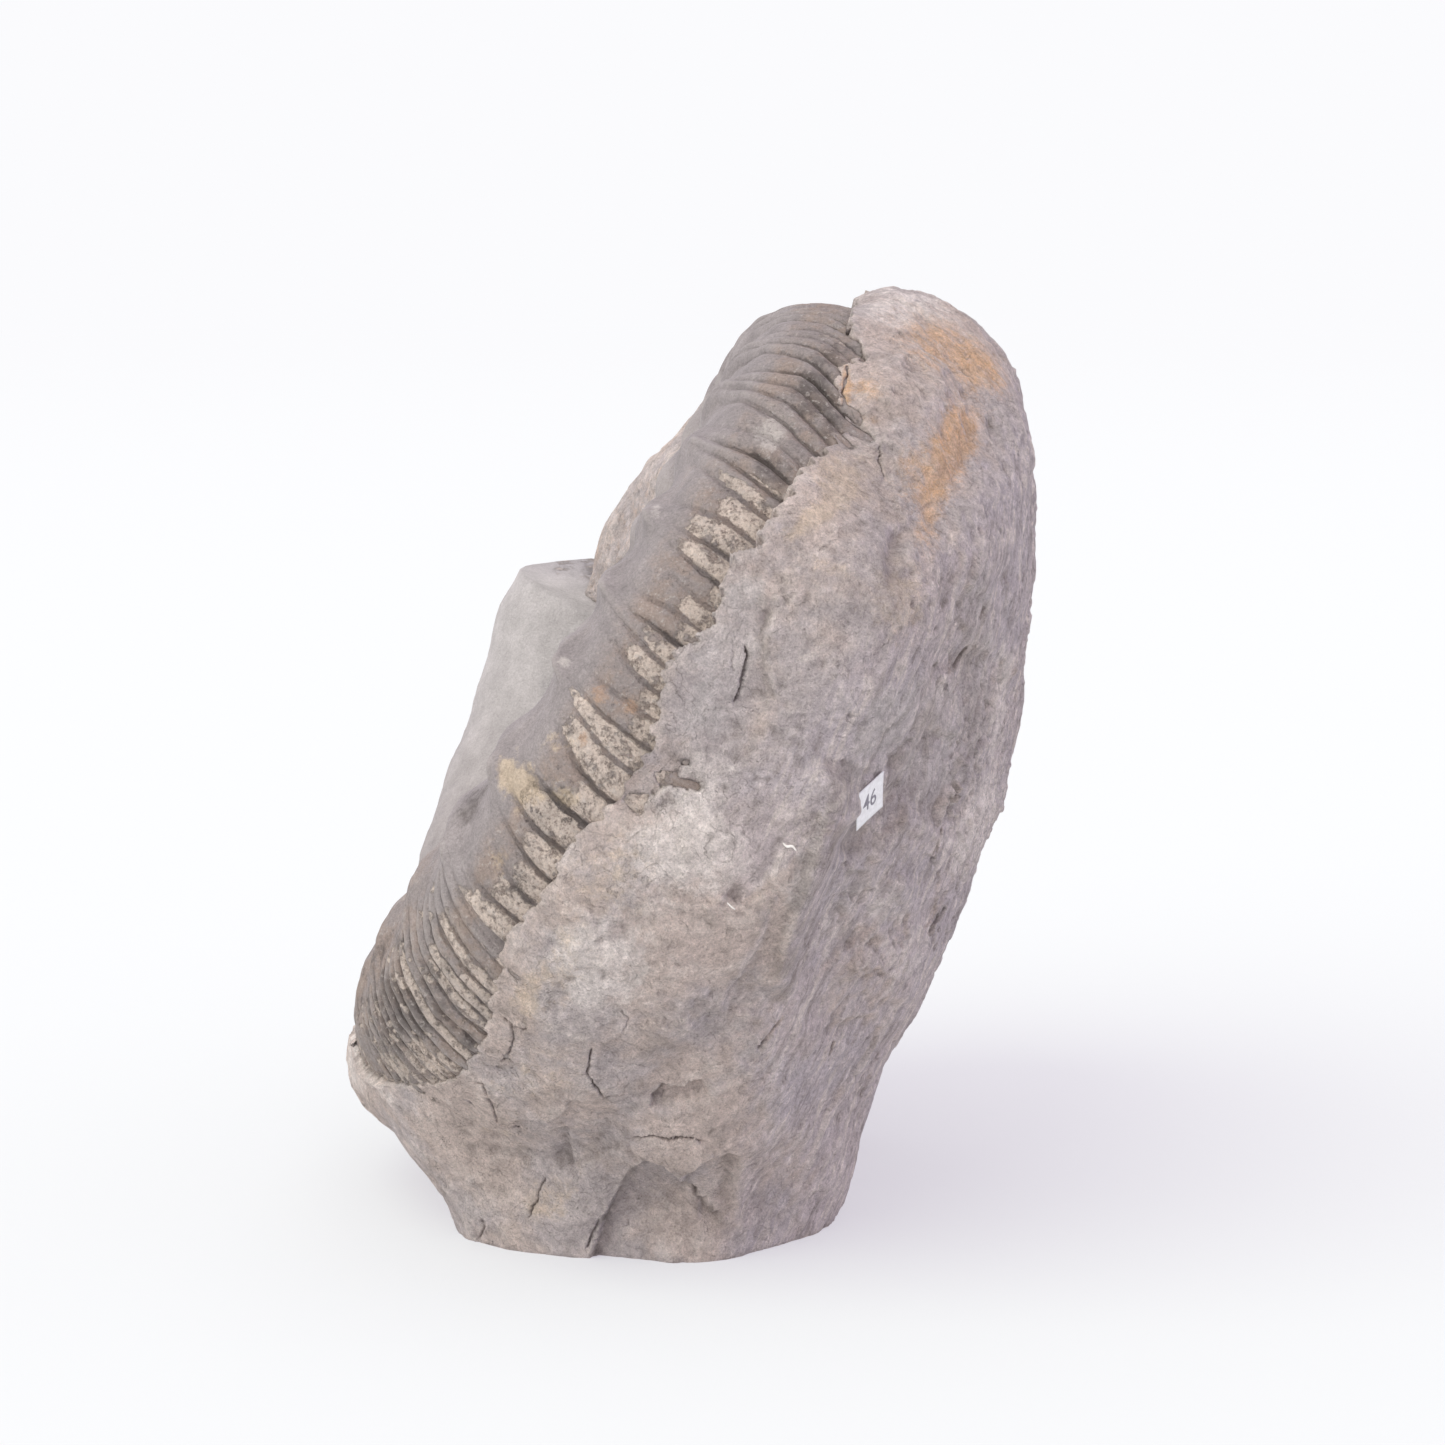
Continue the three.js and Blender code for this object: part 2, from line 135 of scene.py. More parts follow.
@dataclass(frozen=True)
class Grain:
    """Smooth seeded noise in space, between about -1 and 1."""

    seed: int

    def single(self, points: Array, cell: float) -> Array:
        """One layer of noise whose lumps are about a cell apart.

        Args:
            points: Places, one a row, in millimetres.
            cell: The size of a lump, in millimetres.

        Returns:
            One value for each place.
        """
        at = points / cell + 17.3 * self.seed
        corner = np.floor(at).astype(np.int64)
        inside = at - corner
        fade = inside**3 * (inside * (inside * 6 - 15) + 10)
        slopes = unit(np.random.RandomState(self.seed).normal(size=(256, 3)))
        total = np.zeros(len(points))
        for step in np.ndindex(2, 2, 2):
            x, y, z = (corner + step).T
            pick = (x * 73856093) ^ (y * 19349663) ^ (z * 83492791)
            pick = (pick ^ (pick >> 13)) & 255
            weight = np.prod(np.where(np.array(step) == 1, fade, 1 - fade), axis=1)
            total += weight * np.einsum("ij,ij->i", slopes[pick], inside - np.array(step))
        return 1.5 * total

    def layers(self, points: Array, cell: float, count: int, keep: float = 0.5) -> Array:
        """Noise with finer and weaker layers on top.

        Args:
            points: Places, one a row, in millimetres.
            cell: The size of the largest lumps.
            count: How many layers, each half the size of the last.
            keep: How strong each layer is, next to the last.

        Returns:
            One value for each place.
        """
        total = np.zeros(len(points))
        strength = 1.0
        for layer in range(count):
            total += strength * Grain(self.seed + 31 * layer).single(points, cell / 2**layer)
            strength *= keep
        return total

    def warp(self, points: Array, cell: float, reach: float) -> Array:
        """The places, each moved by up to about that reach."""
        shifts = [Grain(self.seed + 7 * axis + 3).single(points, cell) for axis in range(3)]
        return points + reach * np.stack(shifts, axis=1)


def chips(points: Array, cell: float, seed: int) -> Array:
    """Flat struck facets: cells with tilted floors.

    Args:
        points: Places, one a row, in millimetres.
        cell: How far apart the facets' middles are.
        seed: Which pattern.

    Returns:
        Brings the view layer up to date.
    """
    corner = np.floor(points / cell).astype(np.int64)
    best = np.full(len(points), 1e9)
    height = np.zeros(len(points))
    draws = np.random.RandomState(seed).uniform(-1, 1, size=(1024, 7))
    for step in np.ndindex(3, 3, 3):
        x, y, z = (corner + np.array(step) - 1).T
        pick = ((x * 92837111) ^ (y * 689287499) ^ (z * 283923481)) & 1023
        middle = (corner + np.array(step) - 0.5 + 0.45 * draws[pick, :3]) * cell
        away = points - middle
        far = np.linalg.norm(away, axis=1) / cell
        floor = np.einsum("ij,ij->i", draws[pick, 3:6], away) / cell * 0.8 + 0.5 * draws[pick, 6]
        height = np.where(far < best, floor, height)
        best = np.minimum(best, far)
    return height


def path_distance(at: Array, path: Sequence[Pixel]) -> tuple[Array, Array]:
    """How far places in the picture are from a path of straight stretches.

    Args:
        at: Places in the picture, one a row.
        path: The path's corners.

    Returns:
        The distance to the path, which is negative on its left as it runs, and the share of the way
        along the path, both one for each place.
    """
    corners = np.array(path, float)
    lengths = np.linalg.norm(np.diff(corners, axis=0), axis=1)
    run = np.concatenate([[0.0], np.cumsum(lengths)])
    best = np.full(len(at), 1e9)
    signed = np.full(len(at), 1e9)
    along = np.zeros(len(at))
    for start, end, length, before in zip(corners[:-1], corners[1:], lengths, run[:-1]):
        way = (end - start) / length
        share = np.clip((at - start) @ way, 0, length)
        away = at - start - share[:, None] * way
        far = np.linalg.norm(away, axis=1)
        sign = np.where(way[0] * away[:, 1] - way[1] * away[:, 0] >= 0, 1.0, -1.0)
        nearer = far < best
        best = np.where(nearer, far, best)
        signed = np.where(nearer, sign * far, signed)
        along = np.where(nearer, (before + share) / run[-1], along)
    return signed, along


# ---- Work on meshes ----


def read(rows: bpy.types.bpy_prop_collection, name: str, width: int = 1, kind: type = np.float32) -> Array:
    """One property of all of a mesh's points, edges or faces, as rows of that many numbers."""
    flat = np.empty(len(rows) * width, kind)
    rows.foreach_get(name, flat)
    return flat.reshape(-1, width)


def points_of(piece: Piece) -> Array:
    """A mesh's points, one a row, in millimetres."""
    return read(piece.data.vertices, "co", 3, np.float64) / MM


def move_points(piece: Piece, points: Array) -> None:
    """Puts a mesh's points in those places, given in millimetres."""
    piece.data.vertices.foreach_set("co", (points * MM).ravel())
    piece.data.update()


def normals_of(piece: Piece) -> Array:
    """The outward direction at each point of a mesh."""
    return read(piece.data.vertex_normals, "vector", 3).astype(float)


def pairs_of(piece: Piece) -> Array:
    """The two points of each edge of a mesh."""
    return read(piece.data.edges, "vertices", 2, np.int32)


def face_middles(piece: Piece) -> Array:
    """The middle of each face of a mesh, in millimetres."""
    return read(piece.data.polygons, "center", 3) / MM


def averaged(values: Array, pairs: Array, rounds: int) -> Array:
    """Each point's value, or row of values, evened out with its neighbours' a number of times."""
    count = np.bincount(pairs.ravel(), minlength=len(values)).astype(float)
    rows = values.reshape(len(values), -1).astype(float)
    for _ in range(rounds):
        total = np.stack(
            [
                np.bincount(pairs[:, 0], weights=row[pairs[:, 1]], minlength=len(values))
                + np.bincount(pairs[:, 1], weights=row[pairs[:, 0]], minlength=len(values))
                for row in rows.T
            ],
            axis=1,
        )
        rows = 0.5 * rows + 0.5 * total / np.maximum(count, 1)[:, None]
    return rows.reshape(values.shape)


def proudness(piece: Piece, rounds: int) -> Array:
    """How far each point stands out of its neighbourhood, which grows with the rounds, in millimetres."""
    points = points_of(piece)
    return np.einsum("ij,ij->i", points - averaged(points, pairs_of(piece), rounds), normals_of(piece))


def paint(piece: Piece, mark: Mark, values: Array) -> None:
    """Stores one value for each point under the mark's name."""
    layer = piece.data.attributes.get(mark.value)
    if layer is None:
        layer = piece.data.attributes.new(mark.value, "FLOAT", "POINT")
    layer.data.foreach_set("value", np.clip(values, 0, 1).astype(np.float32))


def only(piece: Piece) -> Piece:
    """Deselects everything and makes the piece the one that operators act on."""
    bpy.ops.object.select_all(action="DESELECT")
    piece.select_set(True)
    bpy.context.view_layer.objects.active = piece
    return piece


def added(name: str) -> Piece:
    """The primitive that was just added, with its own name."""
    piece = bpy.context.view_layer.objects.active
    piece.name = name
    piece.data.name = name
    return only(piece)


def pick_faces(piece: Piece, chosen: Array) -> None:
    """Selects those faces of the piece, and no others."""
    mesh = piece.data
    mesh.vertices.foreach_set("select", np.zeros(len(mesh.vertices), bool))
    mesh.edges.foreach_set("select", np.zeros(len(mesh.edges), bool))
    mesh.polygons.foreach_set("select", np.asarray(chosen, bool))


def in_edit_mode(piece: Piece, *steps: Callable[[], object]) -> None:
    """Runs the steps in edit mode, with faces to select."""
    only(piece)
    bpy.ops.object.mode_set(mode="EDIT")
    bpy.ops.mesh.select_mode(type="FACE")
    for step in steps:
        step()
    bpy.ops.object.mode_set(mode="OBJECT")


def combine(piece: Piece, tool: Piece, operation: str) -> None:
    """Joins a tool to the piece or cuts it out, and removes the tool."""
    only(piece)
    change = piece.modifiers.new("combine", "BOOLEAN")
    change.operation = operation
    change.solver = "MANIFOLD"
    change.object = tool
    bpy.ops.object.modifier_apply(modifier=change.name)
    bpy.data.objects.remove(tool)


def keep_largest(piece: Piece) -> None:
    """Deletes every loose part of a mesh but the one with the most points."""
    pairs = pairs_of(piece)
    label = np.arange(len(piece.data.vertices))
    while True:
        low = np.minimum(label[pairs[:, 0]], label[pairs[:, 1]])
        fresh = label.copy()
        np.minimum.at(fresh, pairs[:, 0], low)
        np.minimum.at(fresh, pairs[:, 1], low)
        fresh = fresh[fresh]
        if np.array_equal(fresh, label):
            break
        label = fresh
    main = np.bincount(label).argmax()
    if (label == main).all():
        return
    starts = read(piece.data.polygons, "loop_start", kind=np.int32)[:, 0]
    corners = read(piece.data.loops, "vertex_index", kind=np.int32)[:, 0]
    pick_faces(piece, label[corners[starts]] != main)
    in_edit_mode(piece, lambda: bpy.ops.mesh.delete(type="VERT"))


def keep_in_box(piece: Piece, margin: float = 0.02) -> None:
    """Moves points that stand out of the solids' own box back to it."""
    low, high = (np.array(corner) / MM for corner in CAD_BOX)
    move_points(piece, np.clip(points_of(piece), low + margin, high - margin))


def dress(piece: Piece, finish: SiltstoneFinish | ShellFinish | PlainFinish) -> None:
    """Gives a piece the finish's material, and no other."""
    piece.data.materials.clear()
    piece.data.materials.append(finish.material())


def hand_over(piece: Piece, slot: Slot, *nodes: str) -> None:
    """Lets a finished piece ride on the body and stand for its nodes."""
    piece.data.shade_smooth()
    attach(piece, Body.WHOLE.value)
    if nodes:
        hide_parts(*nodes)
    log.info("%s: %d faces", piece.name, len(piece.data.polygons))


# ---- Where the camera stands ----


@dataclass(frozen=True)
class Viewpoint:
    """The camera, and where in its picture a place shows. Lengths are in millimetres."""

    target: Place = (8.3, -16.0, 84.5)
    elevation: float = 8.0
    distance: float = 660.8
    lens: float = 100.0
    sensor: float = 36.0
    picture: float = 1445.0
    right: Place = (1.0, 0.0, 0.0)
    nearest: float = 10.0

    @property
    def back(self) -> Array:
        """The direction from the target to the camera."""
        lift = math.radians(self.elevation)
        return np.array([0.0, -math.cos(lift), math.sin(lift)])

    @property
    def up(self) -> Array:
        """The direction that runs up the picture."""
        return np.cross(self.right, -self.back)

    @property
    def place(self) -> Array:
        """Where the camera stands."""
        return np.array(self.target) + self.distance * self.back

    @property
    def focal(self) -> float:
        """How many pixels away from the middle a place shows that is as far aside as it is deep."""
        return self.picture * self.lens / self.sensor

    def pixels(self, points: Array) -> Array:
        """Where places show in the picture, one a row, counted from its top left."""
        away = points - self.place
        deep = away @ -self.back
        aside = self.focal * (away @ np.array(self.right)) / deep
        above = self.focal * (away @ self.up) / deep
        return self.picture / 2 + np.stack([aside, -above], axis=1)

    def ray(self, at: Pixel) -> Array:
        """The direction from the camera to what shows at that pixel."""
        aside, below = ((value - self.picture / 2) / self.focal for value in at)
        return unit(-self.back + np.array(self.right) * aside - self.up * below)

    def facing(self, points: Array, normals: Array) -> Array:
        """How squarely each place faces the camera, from -1 to 1."""
        return np.einsum("ij,ij->i", unit(self.place - points), normals)

    def add_camera(self) -> None:
        """Adds the camera to the scene."""
        bpy.ops.object.camera_add(location=Vector(self.place * MM))
        camera = bpy.context.object
        camera.name = "camera"
        camera.data.lens = self.lens
        camera.data.sensor_width = self.sensor
        camera.data.clip_start = self.nearest * MM
        camera.rotation_mode = "QUATERNION"
        camera.rotation_quaternion = Vector(-self.back).to_track_quat("-Z", "Y")
        bpy.context.scene.camera = camera


VIEW = Viewpoint()


class Touch(Enum):
    """How a stroke shapes the surface."""

    GROOVE = "a line that is raised, or cut with a negative height"
    STEP = "a ledge whose right side is raised, or lowered with a negative height"


@dataclass(frozen=True)
class Stroke:
    """One mark on the front: its path in the picture, its width in pixels and height in millimetres."""

    path: tuple[Pixel, ...]
    wide: float
    height: float
    touch: Touch = Touch.GROOVE
    reach: float = 40.0
    soft_ends: bool = True
    end_share: float = 0.12

    def weight(self, at: Array) -> Array:
        """How strongly it works at places in the picture, from 0 to 1."""
        signed, along = path_distance(at, self.path)
        if self.touch is Touch.STEP:
            fading = 1 - smoothstep(signed, self.wide, self.reach)
            shape = smoothstep(signed, -self.wide / 2, self.wide / 2) * fading
        else:
            shape = bell(signed, self.wide)
        if self.soft_ends:
            for from_end in (along, 1 - along):
                shape = shape * smoothstep(from_end, 0.0, self.end_share)
        return shape


@dataclass(frozen=True)
class Patch:
    """A stained area on the front: its middle and half sizes in the picture, and its turn in degrees."""

    mark: Mark
    middle: Pixel
    half: Pixel
    turn: float
    strength: float

    def weight(self, at: Array) -> Array:
        """How strongly it stains places in the picture, from 0 to 1."""
        swing = math.radians(self.turn)
        away = at - np.array(self.middle)
        across = (away[:, 0] * math.cos(swing) + away[:, 1] * math.sin(swing)) / self.half[0]
        down = (away[:, 1] * math.cos(swing) - away[:, 0] * math.sin(swing)) / self.half[1]
        return self.strength * np.exp(-(across**2) - down**2)


def stained(mark: Mark, *rows: tuple[Pixel, Pixel, float, float]) -> tuple[Patch, ...]:
    """Stained areas of one mark, from each one's middle, half sizes, turn and strength."""
    return tuple(Patch(mark, *row) for row in rows)


def stain_at(patches: Sequence[Patch], mark: Mark, at: Array) -> Array:
    """How strongly the patches of one mark stain places in the picture."""
    return sum(patch.weight(at) for patch in patches if patch.mark is mark)


# ---- The coil that shell and stone share ----


@dataclass(frozen=True)
class Pinch:
    """A stretch of the last whorl that was squeezed by that share of its width."""

    turn: float
    spread: float
    share: float


@dataclass(frozen=True)
class Coil:
    """The plain whorls. The coil's own frame has x to the front, y up the disc, z to the open side."""

    centre: Place = (3.8, 4.0, 86.9)
    lean: float = 61.0
    mouth_radius: float = 97.9
    mouth_angle: float = 269.0
    growth: float = 1.6
    half_height: float = 0.21
    half_width: float = 0.335
    fullness: float = 2.2
    pinches: tuple[Pinch, ...] = (Pinch(-72, 36, 0.22), Pinch(-230, 85, 0.12))
    flare: Span = (-26.0, -6.0)
    flare_share: float = 0.1
    mouth_tilt: tuple[Span, ...] = ((20.0, 3.5), (35.0, 3.0), (50.0, 0.7), (65.0, -1.2), (90.0, -2.8))

    @property
    def axes(self) -> Array:
        """The coil's own x, y and z directions, one a row."""
        slope = math.radians(self.lean)
        return np.array(
            [
                [0.0, -1.0, 0.0],
                [math.cos(slope), 0.0, math.sin(slope)],
                [-math.sin(slope), 0.0, math.cos(slope)],
            ]
        )

    def to_world(self, points: Array) -> Array:
        """Places in the coil's own frame, moved to the stone."""
        return points @ self.axes + np.array(self.centre)

    def to_own(self, points: Array) -> Array:
        """The reverse of to_world."""
        return (points - np.array(self.centre)) @ self.axes.T

    def around(self, own: Array) -> Array:
        """The angle at which places lie round the coil's axis, in degrees from the top to the front."""
        return np.degrees(np.arctan2(own[:, 0], own[:, 1])) % 360

    def on_ring(self, around: Array) -> Array:
        """Directions from the coil's axis at those angles, in its own frame, one a row."""
        angle = np.radians(around)
        return np.stack([np.sin(angle), np.cos(angle), np.zeros_like(angle)], axis=1)

    def rim_radius(self, turn: Array) -> Array:
        """How far the rim is from the axis."""
        return self.mouth_radius * self.growth ** (np.asarray(turn, float) / 360)

    def rounded(self, value: Array) -> Array:
        """A sine or cosine, changed for a whorl that is fuller than an oval."""
        return np.sign(value) * np.abs(value) ** (2 / self.fullness)

    def outline(self, side: Array) -> tuple[Array, Array]:
        """A whorl's outline, as distance from the axis and height, in shares of the rim's radius."""
        angle = np.radians(side)
        out = 1 - self.half_height + self.half_height * self.rounded(np.cos(angle))
        return out, self.half_width * self.rounded(np.sin(angle))

    def seam(self) -> Span:
        """The side at which a whorl meets the one inside it, and the inner whorl's side there."""

        def inside(side: float) -> Span:
            """Where that side lies in the whorl inside, in shares of that whorl's half sizes."""
            out, up = self.outline(side)
            across = (out * self.growth - 1 + self.half_height) / self.half_height
            return across, up * self.growth / self.half_width

        clear, met = 90.0, 179.0
        for _ in range(40):
            middle = (clear + met) / 2
            across, along = inside(middle)
            if abs(across) ** self.fullness + along**self.fullness < 1:
                met = middle
            else:
                clear = middle
        across, along = inside(clear)
        power = self.fullness / 2
        return clear, math.degrees(math.atan2(along**power, across**power))

    def mouth_shift(self, turn: Array, side: Array) -> Array:
        """How far the mouth's edge runs forward or back at that side, in degrees."""
        return np.interp(side, *zip(*self.mouth_tilt)) * smoothstep(turn, -30.0, 0.0)

    def widening(self, turn: Array) -> Array:
        """How wide a whorl is along the axis, next to its plain width."""
        plain = 1 + self.flare_share * smoothstep(turn, *self.flare)
        return plain - sum(pinch.share * bell(turn - pinch.turn, pinch.spread) for pinch in self.pinches)


COIL = Coil()
SEAM, COVER = COIL.seam()


@dataclass(frozen=True)
class Ribs:
    """The shell's ribs and knobs. Heights are in millimetres where the rim's radius is at_radius."""

    primaries: int = 27
    split: int = 4
    close_split: int = 7
    start: float = 0.5
    at_radius: float = 77.0
    primary_height: float = 1.9
    fine_height: float = 1.5
    close_depth: float = 0.7
    furrow_ends: Span = (46.0, 74.0)
    narrowness: float = 0.36
    knob_height: float = 1.7
    knob_side: float = 70.0
    knob_spread: Span = (0.15, 10.0)
    tip_height: float = 0.8
    tip_spread: Span = (0.07, 5.0)
    ridge_sharpness: float = 1.3
    span_depth: float = 0.25
    growth_line: float = 0.05
    growth_lines: int = 5
    unevenness: float = 0.03
    fine_unevenness: float = 0.012
    close_unevenness: float = 0.022
    bundling: float = 0.62
    crowding: Span = (106.0, 124.0)
    fade: Span = (-150.0, -50.0)
    faded_share: float = 0.2
    bundled_side: Span = (22.0, 60.0)
    fine_side: Span = (54.0, 80.0)
    close_side: Span = (56.0, 78.0)
    top: Span = (40.0, 66.0)
    longer_at_top: float = 22.0
    lean: float = 6.5
    lean_power: float = 0.7
    top_lean: float = 5.5
    steep: Span = (20.0, 70.0)
    shifts: tuple[Span, ...] = (
        (50.0, 0.0),
        (64.6, -0.07),
        (76.1, 0.07),
        (87.7, 0.2),
        (103.7, 0.0),
        (120.0, 0.0),
    )

    @property
    def draws(self) -> Array:
        """Numbers from 0 to 1 that make each fine rib and furrow a little different, one row for each."""
        return np.random.RandomState(15).uniform(size=(432, 4))

    def leaning(self, around: Array, side: Array) -> Array:
        """How far a rib runs forward along the coil by the time it is at that side, in degrees."""
        curve = np.cos(np.radians(np.clip(side * 90 / 80, -90, 90))) ** self.lean_power
        steep = (1 - smoothstep(around, *self.steep)) * smoothstep(-side, -35, 0)
        return self.lean * curve + self.top_lean * steep

    def phase(self, turn: Array, points: Array) -> Array:
        """Counts primary ribs along the coil, with a natural unevenness. A whole number is a crest."""
        uneven = np.interp(turn + COIL.mouth_angle, *zip(*self.shifts))
        fine = self.fine_unevenness + self.close_unevenness * self.close(turn)
        fine = fine * Grain(6).single(points, 5.0)
        uneven = uneven + self.unevenness * Grain(5).single(points, 11.0) + fine
        return turn * self.primaries / 360 + self.start + uneven * smoothstep(turn, -400, -330)

    def fine_count(self, side: Array, phase: Array) -> Array:
        """Counts fine ribs, which spread from each knob. A whole number is a crest."""
        bundled = self.bundling * smoothstep(side, *self.bundled_side)
        bundled = bundled * np.sin(2 * np.pi * phase) / (2 * np.pi)
        return self.split * (phase + bundled)

    def crest_count(self, turn: Array, side: Array, phase: Array) -> Array:
        """Counts whichever ribs show most, fine or close ones."""
        return np.where(self.close(turn) > 0.5, self.close_split * phase, self.fine_count(side, phase))

    def trough(self, count: Array) -> Array:
        """0 on a crest and 1 in the narrow furrow between two."""
        return 1 - (0.5 + 0.5 * np.cos(2 * np.pi * count)) ** self.narrowness

    def close(self, turn: Array) -> Array:
        """How much the fine ribs crowd, from 0 to 1."""
        return smoothstep(turn + COIL.mouth_angle, *self.crowding)

    def furrow(self, turn: Array, side: Array, phase: Array) -> Array:
        """How deep each place lies in a furrow between fine ribs, from 0 to 1."""
        count = self.fine_count(side, phase)
        wide = self.trough(count) * self.furrow_reach(turn, side, count)
        near = self.trough(self.close_split * phase) * (1 - smoothstep(np.abs(side), *self.close_side))
        share = self.close(turn)
        return wide * (1 - share) + self.close_depth * near * share

    def furrow_reach(self, turn: Array, side: Array, count: Array) -> Array:
        """How strongly each furrow between wide-set ribs is cut at that side, from 0 to 1."""
        draws = self.draws[np.floor(count).astype(int) % len(self.draws)]
        end = self.furrow_ends[0] + (self.furrow_ends[1] - self.furrow_ends[0]) * draws[:, 0]
        end = end + self.longer_at_top * (1 - smoothstep(turn + COIL.mouth_angle, *self.top))
        return (0.3 + 0.7 * draws[:, 1]) * (1 - smoothstep(np.abs(side), end - 30, end + 10))

    def height(self, turn: Array, side: Array, points: Array) -> Array:
        """How far the shell stands above the plain whorl.

        Args:
            turn: Where along the coil.
            side: Where round the whorl.
            points: Those places in space, for the unevenness.

        Returns:
            Millimetres, one for each place.
        """
        phase = self.phase(turn, points)
        whole = phase - np.round(phase)
        close = self.close(turn)
        ridge = (0.5 + 0.5 * np.cos(2 * np.pi * phase)) ** self.ridge_sharpness
        primary = self.primary_height * smoothstep(SEAM - side, 4, 35) * smoothstep(side, 60, 86) * ridge
        across = side - self.knob_side
        worn = (1 - 0.75 * close) * (0.3 + 0.7 * smoothstep(turn + COIL.mouth_angle, 42, 62))
        along, over = self.knob_spread
        knob = self.knob_height * bell(whole, along) * bell(across, over) * worn
        along, over = self.tip_spread
        tip = self.tip_height * bell(whole, along) * bell(across - 1, over) * worn
        span = self.span_depth * (1 - ridge) * bell(across + 2, 16) * (1 - close)
        crests = self.fine_height * (1 - smoothstep(np.abs(side), *self.fine_side))
        fine = crests - self.fine_height * self.furrow(turn, side, phase)
        lines = self.growth_line * np.cos(2 * np.pi * self.growth_lines * self.split * phase)
        lines = lines * smoothstep(SEAM - np.abs(side), 8, 30)
        fade = 1 - (1 - self.faded_share) * smoothstep(turn, *self.fade)
        inner = np.where(turn < -359.9, smoothstep(np.abs(side) - COVER, 0.5, 14), 1.0)
        buried = np.where(side < -30, 0.3, 1.0)
        total = primary + knob + tip + fine + lines - span
        return total * fade * inner * buried * COIL.rim_radius(turn) / self.at_radius


RIBS = Ribs()


# ---- Finishes ----


class Bench:
    """A node tree being put together."""

    def __init__(self, name: str) -> None:
        """Starts a material of that name with a Principled shader."""
        self.material = bpy.data.materials.new(name)
        self.material.use_nodes = True
        self.tree = self.material.node_tree
        self.shader = self.tree.nodes["Principled BSDF"]
        self.object_place = self.tree.nodes.new("ShaderNodeTexCoord").outputs["Object"]
        self.colour: object = None

    def node(
        self, kind: str, inputs: dict[str | int, object] | None = None, **settings: object
    ) -> bpy.types.Node:
        """Adds a node.

        Args:
            kind: The node's type.
            inputs: A number or a socket for each input that isn't left alone.
            settings: The node's own options.

        Returns:
            The node.
        """
        made = self.tree.nodes.new(kind)
        for name, value in settings.items():
            setattr(made, name, value)
        for name, value in (inputs or {}).items():
            if isinstance(value, Socket):
                self.tree.links.new(value, made.inputs[name])
            else:
                made.inputs[name].default_value = value
        return made

    def place(self, stretch: Place, turn: Place) -> Socket:
        """The piece's own coordinates, turned in degrees and then stretched."""
        swing = {"Vector": self.object_place, "Rotation": tuple(math.radians(angle) for angle in turn)}
        turned = self.node("ShaderNodeMapping", swing).outputs[0]
        return self.node("ShaderNodeMapping", {"Vector": turned, "Scale": stretch}).outputs[0]

    def noise(
        self,
        size: float,
        detail: float = 4,
        rough: float = 0.55,
        place: Socket | None = None,
        twist: float = 0.0,
    ) -> Socket:
        """Noise from 0 to 1 with lumps of that size in millimetres."""
        inputs = {
            "Vector": place or self.object_place,
            "Scale": 1 / (size * MM),
            "Detail": detail,
            "Roughness": rough,
            "Distortion": twist,
        }
        return self.node("ShaderNodeTexNoise", inputs).outputs[0]

    def mark(self, mark: Mark) -> Socket:
        """The value of one of the piece's marks."""
        return self.node("ShaderNodeAttribute", attribute_name=mark.value).outputs["Fac"]

    def math(self, operation: str, *values: object) -> Socket:
        """A sum of numbers and sockets."""
        return self.node("ShaderNodeMath", dict(enumerate(values)), operation=operation).outputs[0]

    def between(self, value: object, low: float, high: float) -> Socket:
        """0 below low, 1 above high, and smooth between."""
        inputs = {"Value": value, "From Min": low, "From Max": high}
        return self.node("ShaderNodeMapRange", inputs, interpolation_type="SMOOTHSTEP").outputs[0]

    def mix(self, share: object, first: object, second: object) -> Socket:
        """One colour laid over another by that share."""
        made = self.tree.nodes.new("ShaderNodeMix")
        made.data_type = "RGBA"
        for socket, value in zip((made.inputs[0], made.inputs[6], made.inputs[7]), (share, first, second)):
            if isinstance(value, Socket):
                self.tree.links.new(value, socket)
            elif isinstance(value, tuple):
                socket.default_value = (*value, 1)
            else:
                socket.default_value = value
        return made.outputs[2]

    def cover(self, share: object, strength: float, second: object) -> None:
        """Lays a second colour over the first where the share says, at most that strongly."""
        self.colour = self.mix(self.math("MULTIPLY", share, strength), self.colour, second)

    def grain(self, noise: Socket, depth: float) -> None:
        """Makes the colour lighter and darker by the noise, by up to about that share."""
        inputs = {"Value": noise, "From Min": 0.3, "From Max": 0.7, "To Min": 1 - depth, "To Max": 1 + depth}
        scale = self.node("ShaderNodeMapRange", inputs, clamp=False).outputs[0]
        scaled = self.node("ShaderNodeVectorMath", {0: self.colour, "Scale": scale}, operation="SCALE")
        self.colour = scaled.outputs[0]

    def veins(self, size: float, wide: float) -> Socket:
        """Thin winding lines, as a share from 0 to 1."""
        away = self.math("ABSOLUTE", self.math("SUBTRACT", self.noise(size, 7, 0.68, twist=0.8), 0.5))
        return self.between(away, wide, 0.0)

    def terraces(self, noise: Socket, count: float) -> tuple[Socket, Socket]:
        """A height turned into that many flat levels with short slopes between, and where the slopes are."""
        levels = self.math("MULTIPLY", noise, count)
        share = self.math("FRACT", levels)
        height = self.math("ADD", self.math("FLOOR", levels), self.between(share, 0.88, 1.0))
        brink = self.math("MULTIPLY", self.between(share, 0.82, 0.9), self.between(share, 1.0, 0.96))
        return self.math("DIVIDE", height, count), brink

    def ragged(self, mark: Mark, size: float, low: float = 0.3, high: float = 0.85) -> Socket:
        """A mark whose border is broken up by noise with lumps of that size."""
        uneven = self.math("MULTIPLY_ADD", self.noise(size, 7, 0.72), 1.8, -0.9)
        return self.between(self.math("ADD", self.mark(mark), uneven), low, high)

